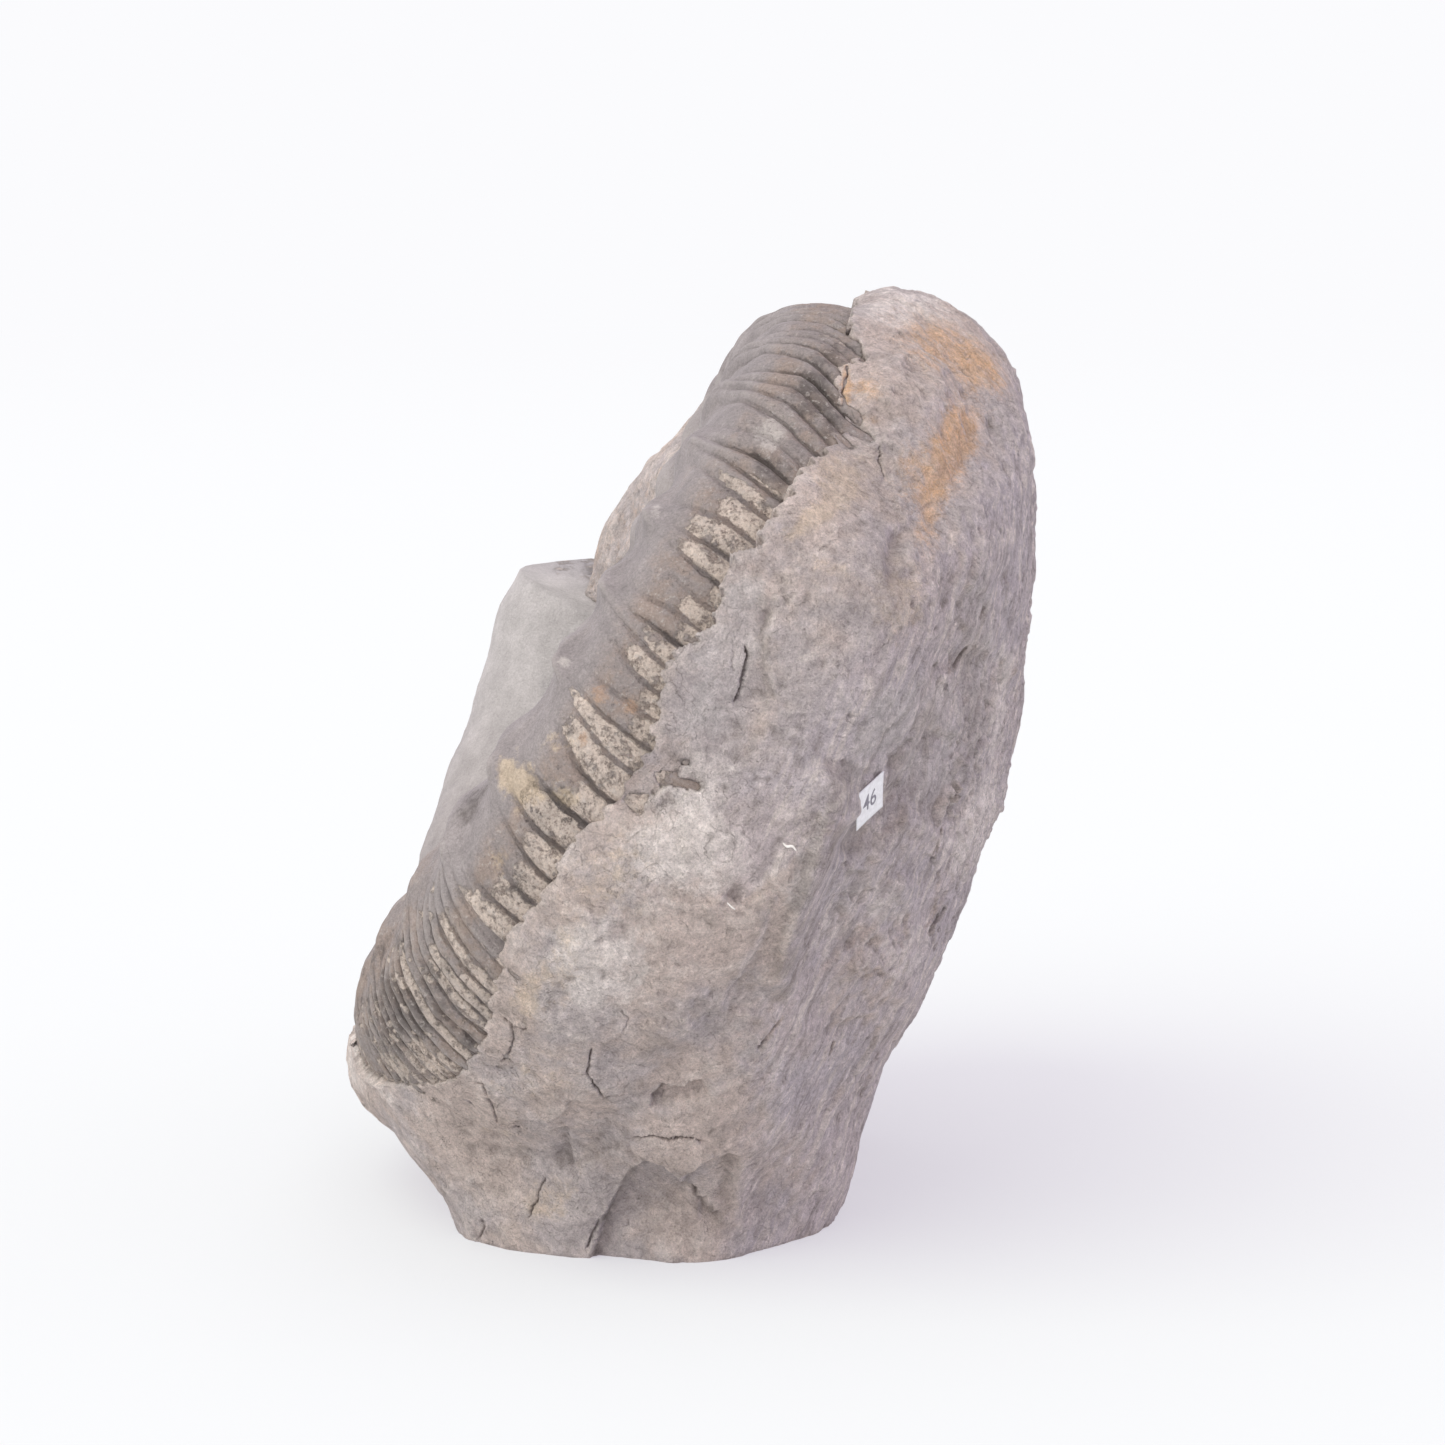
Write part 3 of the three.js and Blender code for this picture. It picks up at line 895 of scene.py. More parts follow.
    def bump(self, *layers: tuple[Socket, float]) -> None:
        """Gives the shader small relief, from layers of a height from 0 to 1 and a depth in millimetres."""
        normal = None
        for height, depth in layers:
            inputs = {"Height": height, "Distance": depth * MM, "Strength": 1.0}
            if normal is not None:
                inputs["Normal"] = normal
            normal = self.node("ShaderNodeBump", inputs).outputs[0]
        self.tree.links.new(normal, self.shader.inputs["Normal"])

    def finish(self, rough: object) -> bpy.types.Material:
        """Joins colour and roughness to the shader."""
        self.tree.links.new(self.colour, self.shader.inputs["Base Color"])
        if isinstance(rough, Socket):
            self.tree.links.new(rough, self.shader.inputs["Roughness"])
        else:
            self.shader.inputs["Roughness"].default_value = rough
        return self.material


@dataclass(frozen=True)
class SiltstoneFinish:
    """Fine-grained grey-brown stone with rusty and ochre stains, paler bruises and dark patches, with painted
    shade in its hollows, cracks, plate brinks and beside the ridge, painted cool shade on faces that look
    right, and painted highlights on proud edges.
    """

    warm: Colour = (0.570, 0.472, 0.425)
    cool: Colour = (0.490, 0.430, 0.420)
    light: Colour = (0.740, 0.655, 0.600)
    dark: Colour = (0.290, 0.245, 0.220)
    rust: Colour = (0.690, 0.410, 0.205)
    ochre: Colour = (0.700, 0.550, 0.400)
    pale: Colour = (0.800, 0.725, 0.680)
    slate: Colour = (0.585, 0.535, 0.518)
    violet: Colour = (0.520, 0.462, 0.500)
    crack_shade: Colour = (0.120, 0.092, 0.078)
    specular: float = 0.25
    streak_stretch: Place = (1, 1, 0.14)
    streak_turn: Place = (0, -24, 0)
    plate_levels: float = 11.0
    plate_relief: float = 2.0
    coarse_relief: float = 0.7
    speck_relief: float = 0.45
    grit_relief: float = 0.25

    def material(self) -> bpy.types.Material:
        """Builds the node tree."""
        bench = Bench("siltstone_finish")
        blotch = bench.noise(6, 6, 0.7, twist=0.6)
        speck = bench.noise(1.1, 6, 0.75)
        grit = bench.noise(0.34, 4, 0.85)
        bench.colour = bench.mix(bench.between(bench.noise(22, 5, 0.65), 0.42, 0.58), self.cool, self.warm)
        bench.cover(bench.between(blotch, 0.5, 0.7), 0.5, self.light)
        bench.cover(bench.between(blotch, 0.48, 0.32), 0.42, self.dark)
        # On faces that look right and beside the ridge the violet is painted cool shade; the pale and dark
        # lines over it are the layering.
        streaked = bench.mark(Mark.STREAK)
        bench.cover(streaked, 0.65, self.violet)
        lay = bench.place(self.streak_stretch, self.streak_turn)
        streaks = bench.noise(1.9, 5, 0.66, place=lay, twist=0.4)
        lit = bench.math("MULTIPLY", bench.between(streaks, 0.5, 0.62), streaked)
        bench.cover(lit, 0.7, self.light)
        lined = bench.math("MULTIPLY", bench.between(streaks, 0.46, 0.38), streaked)
        bench.cover(lined, 0.5, self.dark)
        bench.cover(bench.ragged(Mark.SLATE, 5), 0.65, self.slate)
        bench.cover(bench.ragged(Mark.PALE, 3.5), 0.75, self.pale)
        bench.cover(bench.ragged(Mark.OCHRE, 3), 0.5, self.ochre)
        bench.cover(bench.ragged(Mark.RUST, 3.5, 0.3, 1.0), 0.62, self.rust)
        veined = bench.math("MULTIPLY", bench.veins(7, 0.03), bench.mark(Mark.RUST))
        bench.cover(veined, 0.5, self.rust)
        # Painted highlight on proud edges.
        bench.cover(bench.mark(Mark.EDGE), 0.25, self.light)
        # Painted shade in the hollows and beside the ridge and the corner, with dark patches.
        bench.cover(bench.mark(Mark.SOIL), 0.5, self.dark)
        plates, brink = bench.terraces(bench.noise(12, 5, 0.52, twist=0.5), self.plate_levels)
        broken = bench.between(bench.noise(9, 3, 0.6), 0.53, 0.65)
        # Painted shadow at the brinks of the plates.
        bench.cover(bench.math("MULTIPLY", brink, broken), 0.3, self.dark)
        coarse = bench.noise(2.6, 5, 0.7, twist=0.5)
        bench.grain(coarse, 0.2)
        bench.grain(speck, 0.22)
        bench.grain(grit, 0.3)
        bench.cover(bench.between(speck, 0.38, 0.28), 0.55, self.dark)
        # Painted shade in the cracks.
        bench.cover(bench.mark(Mark.GROOVE), 0.62, self.crack_shade)
        bench.bump(
            (plates, self.plate_relief),
            (coarse, self.coarse_relief),
            (speck, self.speck_relief),
            (grit, self.grit_relief),
        )
        bench.shader.inputs["Specular IOR Level"].default_value = self.specular
        return bench.finish(bench.math("MULTIPLY_ADD", speck, 0.2, 0.78))


@dataclass(frozen=True)
class ShellFinish:
    """Grey shell, smooth on the shoulder, with beige worn ribs and a few ochre stains; its furrows get
    painted shade as dark lines, and its proudest places a painted highlight.
    """

    grey: Colour = (0.305, 0.262, 0.248)
    brown: Colour = (0.278, 0.220, 0.190)
    smooth: Colour = (0.270, 0.238, 0.233)
    beige: Colour = (0.590, 0.495, 0.425)
    dark: Colour = (0.085, 0.068, 0.062)
    worn: Colour = (0.390, 0.318, 0.270)
    faded: Colour = (0.470, 0.445, 0.440)
    ochre: Colour = (0.520, 0.410, 0.290)
    light: Colour = (0.470, 0.425, 0.395)
    rust: Colour = (0.470, 0.290, 0.180)
    specular: float = 0.28
    line_scale: float = 280.0
    line_wobble: float = 0.3
    line_width: float = 0.14
    line_relief: float = 0.5
    flake_relief: float = -0.25
    coarse_relief: float = 0.5
    grit_relief: float = 0.2

    def material(self) -> bpy.types.Material:
        """Builds the node tree."""
        bench = Bench("shell_finish")
        speck = bench.noise(0.9, 5, 0.72)
        grit = bench.noise(0.42, 4, 0.78)
        blotch = bench.noise(5, 6, 0.68)
        rough_skin = bench.math("SUBTRACT", 1.0, bench.math("MULTIPLY", bench.mark(Mark.SLATE), 0.8))
        bench.colour = bench.mix(bench.between(blotch, 0.42, 0.6), self.grey, self.brown)
        bench.colour = bench.mix(bench.ragged(Mark.SLATE, 8, 0.2, 0.95), bench.colour, self.smooth)
        bench.cover(bench.mark(Mark.FADED), 0.7, self.faded)
        bench.cover(bench.ragged(Mark.SOIL, 3), 0.75, self.dark)
        flaked = bench.ragged(Mark.FLAKE, 2.2, 0.35, 0.7)
        flaked = bench.math("MULTIPLY", flaked, bench.between(bench.noise(2.6, 6, 0.78), 0.36, 0.48))
        bare = bench.mix(bench.between(speck, 0.40, 0.52), self.worn, self.beige)
        bench.cover(flaked, 0.85, bare)
        bench.cover(bench.ragged(Mark.PALE, 2.5), 0.8, self.light)
        bench.cover(bench.ragged(Mark.OCHRE, 2.5, 0.35, 0.8), 0.7, self.ochre)
        bench.cover(bench.ragged(Mark.RUST, 2.0, 0.35, 0.8), 0.55, self.rust)
        dots = bench.math("MULTIPLY", bench.between(speck, 0.56, 0.66), rough_skin)
        bench.cover(dots, 0.6, self.light)
        pits = bench.math("MULTIPLY", bench.between(speck, 0.43, 0.33), rough_skin)
        bench.cover(pits, 0.6, self.dark)
        bench.grain(blotch, 0.22)
        bench.grain(grit, 0.26)
        # Painted highlight on the proudest places.
        bench.cover(bench.mark(Mark.EDGE), 0.25, self.light)
        # Painted shade: dark lines along the furrows.
        lines = self.furrow_lines(bench)
        bench.cover(lines, 0.82, self.dark)
        coarse = bench.math("MULTIPLY", speck, rough_skin)
        bench.bump(
            (bench.math("SUBTRACT", 1.0, lines), self.line_relief),
            (flaked, self.flake_relief),
            (coarse, self.coarse_relief),
            (grit, self.grit_relief),
        )
        bench.shader.inputs["Specular IOR Level"].default_value = self.specular
        return bench.finish(bench.math("MULTIPLY_ADD", bench.mark(Mark.SLATE), -0.15, 0.74))

    def furrow_lines(self, bench: Bench) -> Socket:
        """Painted shade: thin dark lines along the furrows, as a share from 0 to 1."""
        lumps = bench.noise(2.2, 5, 0.7)
        uneven = bench.math("MULTIPLY_ADD", lumps, self.line_wobble, -0.5 * self.line_wobble)
        count = bench.math("MULTIPLY_ADD", bench.mark(Mark.RIB), self.line_scale, uneven)
        away = bench.math("ABSOLUTE", bench.math("SUBTRACT", bench.math("FRACT", count), 0.5))
        line = bench.between(away, self.line_width, 0.02)
        return bench.math("MULTIPLY", line, bench.mark(Mark.GROOVE))


@dataclass(frozen=True)
class PlainFinish:
    """A plain finish with a faint unevenness, for paper, ink and white crumbs."""

    name: str
    colour: Colour
    shade: Colour
    size: float = 0.8
    rough: float = 0.8

    def material(self) -> bpy.types.Material:
        """Builds the node tree."""
        bench = Bench(self.name)
        fibres = bench.noise(self.size, 4, 0.6)
        bench.bump((fibres, 0.03))
        bench.colour = bench.mix(bench.between(fibres, 0.35, 0.65), self.shade, self.colour)
        return bench.finish(self.rough)


# ---- The shell ----


SHELL_STAINS = (
    *stained(
        Mark.OCHRE,
        ((524, 786), (20, 28), -15, 1.0),
        ((566, 796), (16, 12), 20, 0.9),
        ((505, 772), (9, 14), 0, 0.8),
        ((548, 905), (14, 16), 0, 0.6),
        ((560, 742), (26, 18), 0, 0.5),
        ((500, 862), (14, 30), -20, 0.5),
    ),
    *stained(
        Mark.RUST,
        ((600, 696), (16, 14), 0, 0.75),
        ((630, 708), (12, 12), 0, 0.7),
        ((583, 740), (8, 10), 0, 0.8),
        ((526, 998), (8, 16), 0, 0.6),
    ),
    *stained(
        Mark.PALE,
        ((655, 511), (8, 7), 0, 0.8),
        ((565, 661), (7, 6), 0, 0.9),
        ((503, 768), (5, 8), 0, 0.8),
        ((770, 425), (34, 20), -50, 0.6),
        ((772, 440), (14, 14), 0, 0.6),
        ((455, 900), (16, 40), 20, 0.35),
    ),
    *stained(
        Mark.SOIL,
        ((815, 395), (30, 34), -30, 0.9),
        ((838, 355), (20, 18), 0, 0.6),
        ((768, 468), (30, 16), 25, 0.75),
        ((556, 812), (34, 22), 30, 1.0),
        ((524, 894), (18, 16), 0, 1.0),
        ((470, 800), (18, 40), 25, 0.6),
        ((395, 1000), (22, 46), 0, 0.7),
        ((440, 1000), (50, 50), 0, 0.45),
        ((745, 500), (20, 12), 30, 0.6),
    ),
)


@dataclass
class Ammonite:
    """The fossil shell. Its mesh starts as a flat chart of turn and side, and is then coiled up."""

    name: str = "ammonite_shell"
    node: str = "ammonite"
    whorls: int = 6
    steps: int = 216
    lean_end: float = 15.0
    bare: Span = (-0.845, -0.185)
    pit_depth: float = 0.14
    flake_depth: float = 0.2
    worn_from: Span = (44.0, 56.0)
    worn_thins: Span = (96.0, 112.0)
    worn_mouth: Span = (126.0, 146.0)
    crumbled_side: float = 12.0
    crumbled_spread: float = 9.0
    crumbled_depth: float = 0.3
    worn_crest: Span = (0.45, 0.75)
    worn_high: float = 24.0
    worn_spread: float = 38.0
    worn_close: float = 10.0
    smooth_side: Span = (36.0, 62.0)
    low_starts: Span = (112.0, 140.0)
    low_ends: Span = (205.0, 240.0)
    grooves_end: Span = (-110.0, -50.0)
    mouth_smooth: Span = (-90.0, -50.0)
    mouth_faded: Span = (-60.0, -5.0)
    proud_edge: Span = (0.03, 0.25)
    edge_rounds: int = 6
    finish: ShellFinish = field(default_factory=ShellFinish)
    piece: Piece | None = None
    turn: Array | None = None
    side: Array | None = None

    @property
    def sides(self) -> Array:
        """The sides at which the chart's rows lie."""
        buried = [-SEAM, -132.0, -108.0, -84.0, -62.0, -COVER]
        rim = [-24.0, -11.0, 0.0, 10.0, 20.0, 29.0, COVER]
        flank = [46.0, 54.0, 62.0, 70.0, 78.0, 87.0, 96.0, 106.0, 118.0, 130.0, 143.0, SEAM]
        return np.array(buried + rim + flank)

    def draw_chart(self) -> None:
        """Adds the flat chart, with turn as x and side as y, and takes out what is covered."""
        rows = self.sides
        columns = self.whorls * self.steps
        bpy.ops.mesh.primitive_grid_add(x_subdivisions=columns, y_subdivisions=len(rows) - 1, size=2)
        self.piece = added(self.name)
        flat = points_of(self.piece) * MM
        turn = -360.0 * self.whorls * (1 - flat[:, 0]) / 2
        row = (flat[:, 1] + 1) / 2 * (len(rows) - 1)
        side = np.interp(row, np.arange(len(rows)), rows)
        move_points(self.piece, np.stack([turn, side, np.zeros(len(turn))], axis=1))
        middle = face_middles(self.piece)
        pick_faces(self.piece, (middle[:, 0] < -360) & (np.abs(middle[:, 1]) < COVER))
        in_edit_mode(self.piece, lambda: bpy.ops.mesh.delete(type="FACE"))

    def refine(self) -> None:
        """Divides the chart's faces where the shell shows most."""

        def divide(cuts: int, turns: Span, between: Span) -> None:
            """Cuts each face's edges that many times, between those turns and those sides."""
            middle = face_middles(self.piece)
            inside = (middle[:, 0] > turns[0]) & (middle[:, 0] < turns[1])
            inside &= (middle[:, 1] > between[0]) & (middle[:, 1] < between[1])
            pick_faces(self.piece, inside)
            in_edit_mode(self.piece, lambda: bpy.ops.mesh.subdivide(number_cuts=cuts, quadcorner="INNERVERT"))

        start, end = (360 * share for share in self.bare)
        divide(1, (-720, -360), (46, 143))
        divide(1, (-1080, -720), (46, 143))
        divide(1, (-359, start), (-24, 143))
        divide(1, (end, -1), (-24, 143))
        divide(1, (start, end), (106, 143))
        divide(4, (start, end), (-11, 106))

    def coil_up(self) -> None:
        """Moves the chart's points to their places on the coil, and closes the surface."""
        chart = points_of(self.piece)
        self.turn, self.side = chart[:, 0], chart[:, 1]
        plain, outward = self.plain_points(self.turn, self.side)
        rise = RIBS.height(self.turn, self.side, plain) + self.weathering(plain)
        self.match_seams(plain, rise)
        move_points(self.piece, COIL.to_world(plain + outward * rise[:, None]))
        for mark, values in (("turn", self.turn), ("side", self.side)):
            layer = self.piece.data.attributes.new(mark, "FLOAT", "POINT")
            layer.data.foreach_set("value", values.astype(np.float32))
        in_edit_mode(
            self.piece,
            lambda: bpy.ops.mesh.select_all(action="SELECT"),
            lambda: bpy.ops.mesh.remove_doubles(threshold=1e-3 * MM),
            lambda: bpy.ops.mesh.fill_holes(sides=0),
            lambda: bpy.ops.mesh.select_all(action="SELECT"),
            lambda: bpy.ops.mesh.normals_make_consistent(inside=False),
            lambda: bpy.ops.mesh.quads_convert_to_tris(),
        )
        mesh = self.piece.data
        for name in ("turn", "side"):
            setattr(self, name, read(mesh.attributes[name].data, "value")[:, 0].astype(float))
            mesh.attributes.remove(mesh.attributes[name])

    def plain_points(self, turn: Array, side: Array) -> tuple[Array, Array]:
        """The plain whorl's places in the coil's own frame, and the outward directions there."""
        free = np.clip(np.minimum(turn + 360, -turn) / self.lean_end, 0, 1)
        at = turn + np.where(np.abs(side) < 90, free * RIBS.leaning(turn + COIL.mouth_angle, side), 0.0)
        at = at + COIL.mouth_shift(turn, side)
        radius = COIL.rim_radius(at)
        out, up = COIL.outline(side)
        covered = 1 - smoothstep(np.abs(side), COVER, 78)
        inner = (1 - covered) * COIL.widening(turn) + covered * COIL.widening(turn + 360)
        wide = np.where(turn < -360, inner, COIL.widening(at))
        slope = unit(
            np.stack(
                [
                    COIL.rounded(np.cos(np.radians(side))) / COIL.half_height,
                    COIL.rounded(np.sin(np.radians(side))) / COIL.half_width,
                ],
                axis=1,
            )
        )
        ray = COIL.on_ring(COIL.mouth_angle + at)
        lift = np.array([0.0, 0.0, 1.0])
        places = ray * (out * radius)[:, None] + lift * (up * radius * wide)[:, None]
        return places, ray * slope[:, :1] + lift * slope[:, 1:]

    def match_seams(self, plain: Array, rise: Array) -> None:
        """Gives the two rows that meet at a seam the same places."""
        seam = np.abs(np.abs(self.side) - SEAM) < 1e-3
        cover = (np.abs(np.abs(self.side) - COVER) < 1e-3) & (self.turn < -359.99)
        key = np.round(self.turn * self.steps / 360).astype(int) * 2 + (self.side > 0)
        outer = {int(k): i for k, i in zip(key[seam], np.nonzero(seam)[0])}
        inner = np.nonzero(cover)[0]
        partner = np.array([outer.get(int(key[i]) + 2 * self.steps, -1) for i in inner])
        found = partner >= 0
        plain[inner[found]] = plain[partner[found]]
        rise[seam | cover] = 0.0

    def flakes(self, points: Array, phase: Array) -> Array:
        """Where the outer skin has come off the crests of the fine ribs, from 0 to 1."""
        count = RIBS.crest_count(self.turn, self.side, phase)
        draws = RIBS.draws[(np.round(count).astype(int) + 211) % len(RIBS.draws)]
        around = self.turn + COIL.mouth_angle
        thinned = 1 - 0.5 * smoothstep(around, *self.worn_thins)
        chance = 0.08 + 0.9 * smoothstep(around, *self.worn_from) * thinned
        present = smoothstep(chance - draws[:, 0], -0.02, 0.08)
        close = RIBS.close(self.turn)
        high = self.worn_high + self.worn_spread * draws[:, 2] ** 1.2 + self.worn_close * close
        span = smoothstep(self.side, 0, 6) * (1 - smoothstep(self.side, high - 8, high + 6))
        crest = 1 - smoothstep(RIBS.trough(count), *self.worn_crest)
        uneven = Grain(21).layers(points, 4.0, 4, 0.75)
        strewn = 0.8 * smoothstep(Grain(27).layers(points, 3.2, 3, 0.7), 0.2, 0.5) * close
        strewn = strewn * (1 - smoothstep(self.side, 60, 80)) * smoothstep(self.side, 0, 8)
        sunk = smoothstep(around, *self.worn_mouth) * (1 - smoothstep(self.side, 26, 62))
        sunk = 0.8 * sunk * smoothstep(uneven, -0.5, 0.2)
        scaled = smoothstep(present * span * crest + 0.6 * uneven - 0.05, 0.3, 0.8) * span
        return np.maximum(scaled, strewn + sunk)

    def weathering(self, points: Array) -> Array:
        """Pits and lost skin, as a height in millimetres."""
        phase = RIBS.phase(self.turn, points)
        shown = np.where((np.abs(self.side) < SEAM - 10) & (self.side > -20), 1.0, 0.0)
        rough = 0.3 + 0.7 * np.maximum(1 - smoothstep(self.side, 38, 66), 0.8 * RIBS.close(self.turn))
        pits = self.pit_depth * Grain(23).layers(points, 2.4, 3, 0.65) * rough
        worn = self.flake_depth * self.flakes(points, phase)
        crumbling = self.crumbled_depth * self.crumbled() * Grain(28).layers(points, 3.0, 2)
        return (pits - worn + crumbling + 0.25 * Grain(24).single(points, 17.0)) * shown

    def crumbled(self) -> Array:
        """How near each point is to the line along which the ribs crumble, from 0 to 1."""
        return bell(self.side - self.crumbled_side, self.crumbled_spread)

    def paint_marks(self) -> None:
        """Stores where the skin is worn, smooth, dark or stained, where the furrows get painted shade and
        where proud places get a painted highlight.
        """
        world = points_of(self.piece)
        own = COIL.to_own(world)
        at = VIEW.pixels(world)
        phase = RIBS.phase(self.turn, own)
        around = self.turn + COIL.mouth_angle
        shown = smoothstep(VIEW.facing(world, normals_of(self.piece)), 0, 0.3) * (world[:, 1] < 5)
        close = RIBS.close(self.turn)
        paint(self.piece, Mark.FLAKE, self.flakes(own, phase))
        count = RIBS.crest_count(self.turn, self.side, phase)
        paint(self.piece, Mark.RIB, (count + self.finish.line_scale - 8) / self.finish.line_scale)
        # Painted shade: where the finish lays dark lines along the furrows.
        cut = RIBS.furrow_reach(self.turn, self.side, count) * (1 - 0.7 * smoothstep(self.side, 24, 62))
        cut = np.where(close > 0.5, 0.62 * (1 - smoothstep(self.side, 50, 84)), cut)
        cut = cut * np.abs(2 * close - 1) ** 0.5
        cut = cut * (1 - smoothstep(self.turn, *self.grooves_end)) * smoothstep(self.turn, -360, -350)
        paint(self.piece, Mark.GROOVE, cut)
        low = smoothstep(around, *self.low_starts) * (1 - smoothstep(around, *self.low_ends))
        smooth = smoothstep(self.side, *self.smooth_side) * (1 - 0.8 * low)
        paint(self.piece, Mark.SLATE, smooth + smoothstep(self.turn, *self.mouth_smooth))
        for mark in (Mark.OCHRE, Mark.RUST, Mark.PALE, Mark.SOIL):
            stain = stain_at(SHELL_STAINS, mark, at) * shown
            if mark is Mark.SOIL:
                stain = stain + 0.35 * low * smoothstep(Grain(26).layers(own, 5.0, 3), -0.2, 0.3)
                stain = stain + 0.4 * self.crumbled() * smoothstep(Grain(25).layers(own, 6.0, 2), 0.0, 0.35)
            paint(self.piece, mark, stain)
        faded = smoothstep(self.turn, *self.mouth_faded) * smoothstep(self.side, 10, 40)
        paint(self.piece, Mark.FADED, faded)
        # Painted highlight on the proudest places.
        proud = proudness(self.piece, self.edge_rounds)
        paint(self.piece, Mark.EDGE, smoothstep(proud, *self.proud_edge))

    def build(self) -> Piece:
        """Makes, paints and hands over the shell."""
        self.draw_chart()
        self.refine()
        self.coil_up()
        keep_in_box(self.piece)
        self.paint_marks()
        dress(self.piece, self.finish)
        hand_over(self.piece, Slot.SHELL, self.node)
        return self.piece


# ---- The stone ----


@dataclass(frozen=True)
class StoneFace:
    """A face of the block: its outward direction, and a place that it passes through."""

    direction: Place
    through: Place


@dataclass(frozen=True)
class Lump:
    """A broad lump or hollow round the line from start to end."""

    start: Place
    end: Place
    wide: float
    rise: float

    def height(self, points: Array) -> Array:
        """How far it moves places out."""
        start, end = np.array(self.start, float), np.array(self.end, float)
        way = end - start
        share = np.clip((points - start) @ way / (way @ way), 0, 1)
        return self.rise * bell(np.linalg.norm(points - start - share[:, None] * way, axis=1), self.wide)


BLOCK_FACES = (
    StoneFace((0.93, -0.05, -0.36), (52.5, 0, 62)),
    StoneFace((1, 0, 0.02), (60, 0, 113)),
    StoneFace((0.79, 0, 0.61), (55.3, 0, 148)),
    StoneFace((0.1, 0, 0.995), (37, 0, 157)),
    StoneFace((0.47, -0.51, 0.72), (33, -18, 152)),
    StoneFace((0.93, -0.34, -0.15), (41, -64, 100)),
    StoneFace((0.13, -0.985, 0.1), (0, -79, 87)),
    StoneFace((0, -0.9, -0.43), (0, -61, 38)),
    StoneFace((0.74, -0.57, -0.36), (33, -11, 0)),
    StoneFace((-0.5, -0.8, -0.33), (-36, -37, 20)),
    StoneFace((-0.88, 0, -0.47), (-48.3, 0, 17)),
    StoneFace((-0.45, 0.84, -0.4), (-38, 60, 20)),
    StoneFace((0.1, 0.8, -0.6), (0, 66, 20)),
    StoneFace((0.75, 0.65, -0.1), (50, 62, 85)),
    StoneFace((0.5, 0.7, 0.5), (40, 64, 125)),
    StoneFace((0.1, 0.99, 0), (4, 108, 87)),
    StoneFace((0.28, 0.82, 0.5), (40, 76, 122)),
    StoneFace((0.44, 0.42, 0.79), (48, 37, 143)),
)

BLOCK_LUMPS = (
    Lump((46, -48, 100), (34, -60, 84), 10, -6),
    Lump((38, -52, 118), (38, -56, 113), 6, -2),
    Lump((30, -66, 92), (22, -70, 72), 9, 2),
    Lump((-52, 5, 24), (-50, 50, 26), 15, 1),
    Lump((37, -28, 18), (37, 34, 20), 13, -3.5),
    Lump((-26, -40, 16), (-16, -46, 20), 8, -3),
    Lump((-3, -42, 9), (10, -40, 11), 8, -4),
    Lump((40, 50, 60), (20, 84, 84), 14, -4),
    Lump((45, 20, 132), (50, 44, 112), 12, -3),
    Lump((30, -25, 157), (30, 15, 157), 4.5, -3.6),
    Lump((-43, -34, 1), (-43, 24, 1), 8, -3.0),
)

RIDGE = ((975, 595), (948, 667), (922, 711), (914, 734), (896, 760), (882, 775), (856, 806), (818, 838))

CORNER = ((833, 761), (824, 807), (815, 843), (792, 890), (774, 954), (764, 1000))

SHADES = ((RIDGE, 0.8, 30), (CORNER, 1.1, 40))

CRACKS = (
    Stroke(((930, 865), (938, 845), (944, 822)), 1.0, -0.5),
    Stroke(((960, 790), (950, 806), (944, 822)), 1.0, -0.5),
    Stroke(((945, 905), (938, 918), (929, 937)), 1.6, -1.6),
    Stroke(((846, 356), (848, 372), (843, 390), (846, 410)), 1.1, -0.7),
    Stroke(((880, 445), (879, 460), (886, 478)), 0.9, -0.5),
    Stroke(((745, 642), (747, 656), (744, 672), (738, 690), (734, 706)), 1.2, -1.0),
    Stroke(((734, 648), (733, 660), (734, 672)), 0.9, -0.3),
    Stroke(((472, 1083), (482, 1085), (486, 1096), (491, 1104), (495, 1116), (498, 1127)), 0.9, -0.9),
    Stroke(((500, 1016), (511, 1024), (513, 1040), (508, 1054), (498, 1064)), 0.9, -0.6),
    Stroke(((513, 1027), (526, 1030)), 0.9, -0.4),
    Stroke(((591, 1046), (588, 1074), (596, 1088), (606, 1101)), 0.9, -0.8),
    Stroke(((629, 1136), (648, 1137), (664, 1139), (683, 1138), (706, 1142)), 0.9, -0.8),
    Stroke(((546, 1176), (540, 1190), (534, 1210), (528, 1220)), 0.9, -0.7),
    Stroke(((782, 1018), (770, 1034), (757, 1052)), 0.9, -0.6),
    Stroke(((835, 1040), (828, 1062)), 1.0, -0.6),
    Stroke(((620, 1010), (628, 1020), (622, 1034)), 0.9, -0.35),
    Stroke(((716, 452), (702, 470), (690, 490)), 0.9, -0.2),
    Stroke(((478, 1240), (484, 1228), (481, 1218)), 1.0, -0.6),
    Stroke(((586, 1250), (592, 1236), (600, 1218)), 1.2, -0.8),
    Stroke(((984, 608), (981, 618)), 1.1, -1.2, soft_ends=False),
)

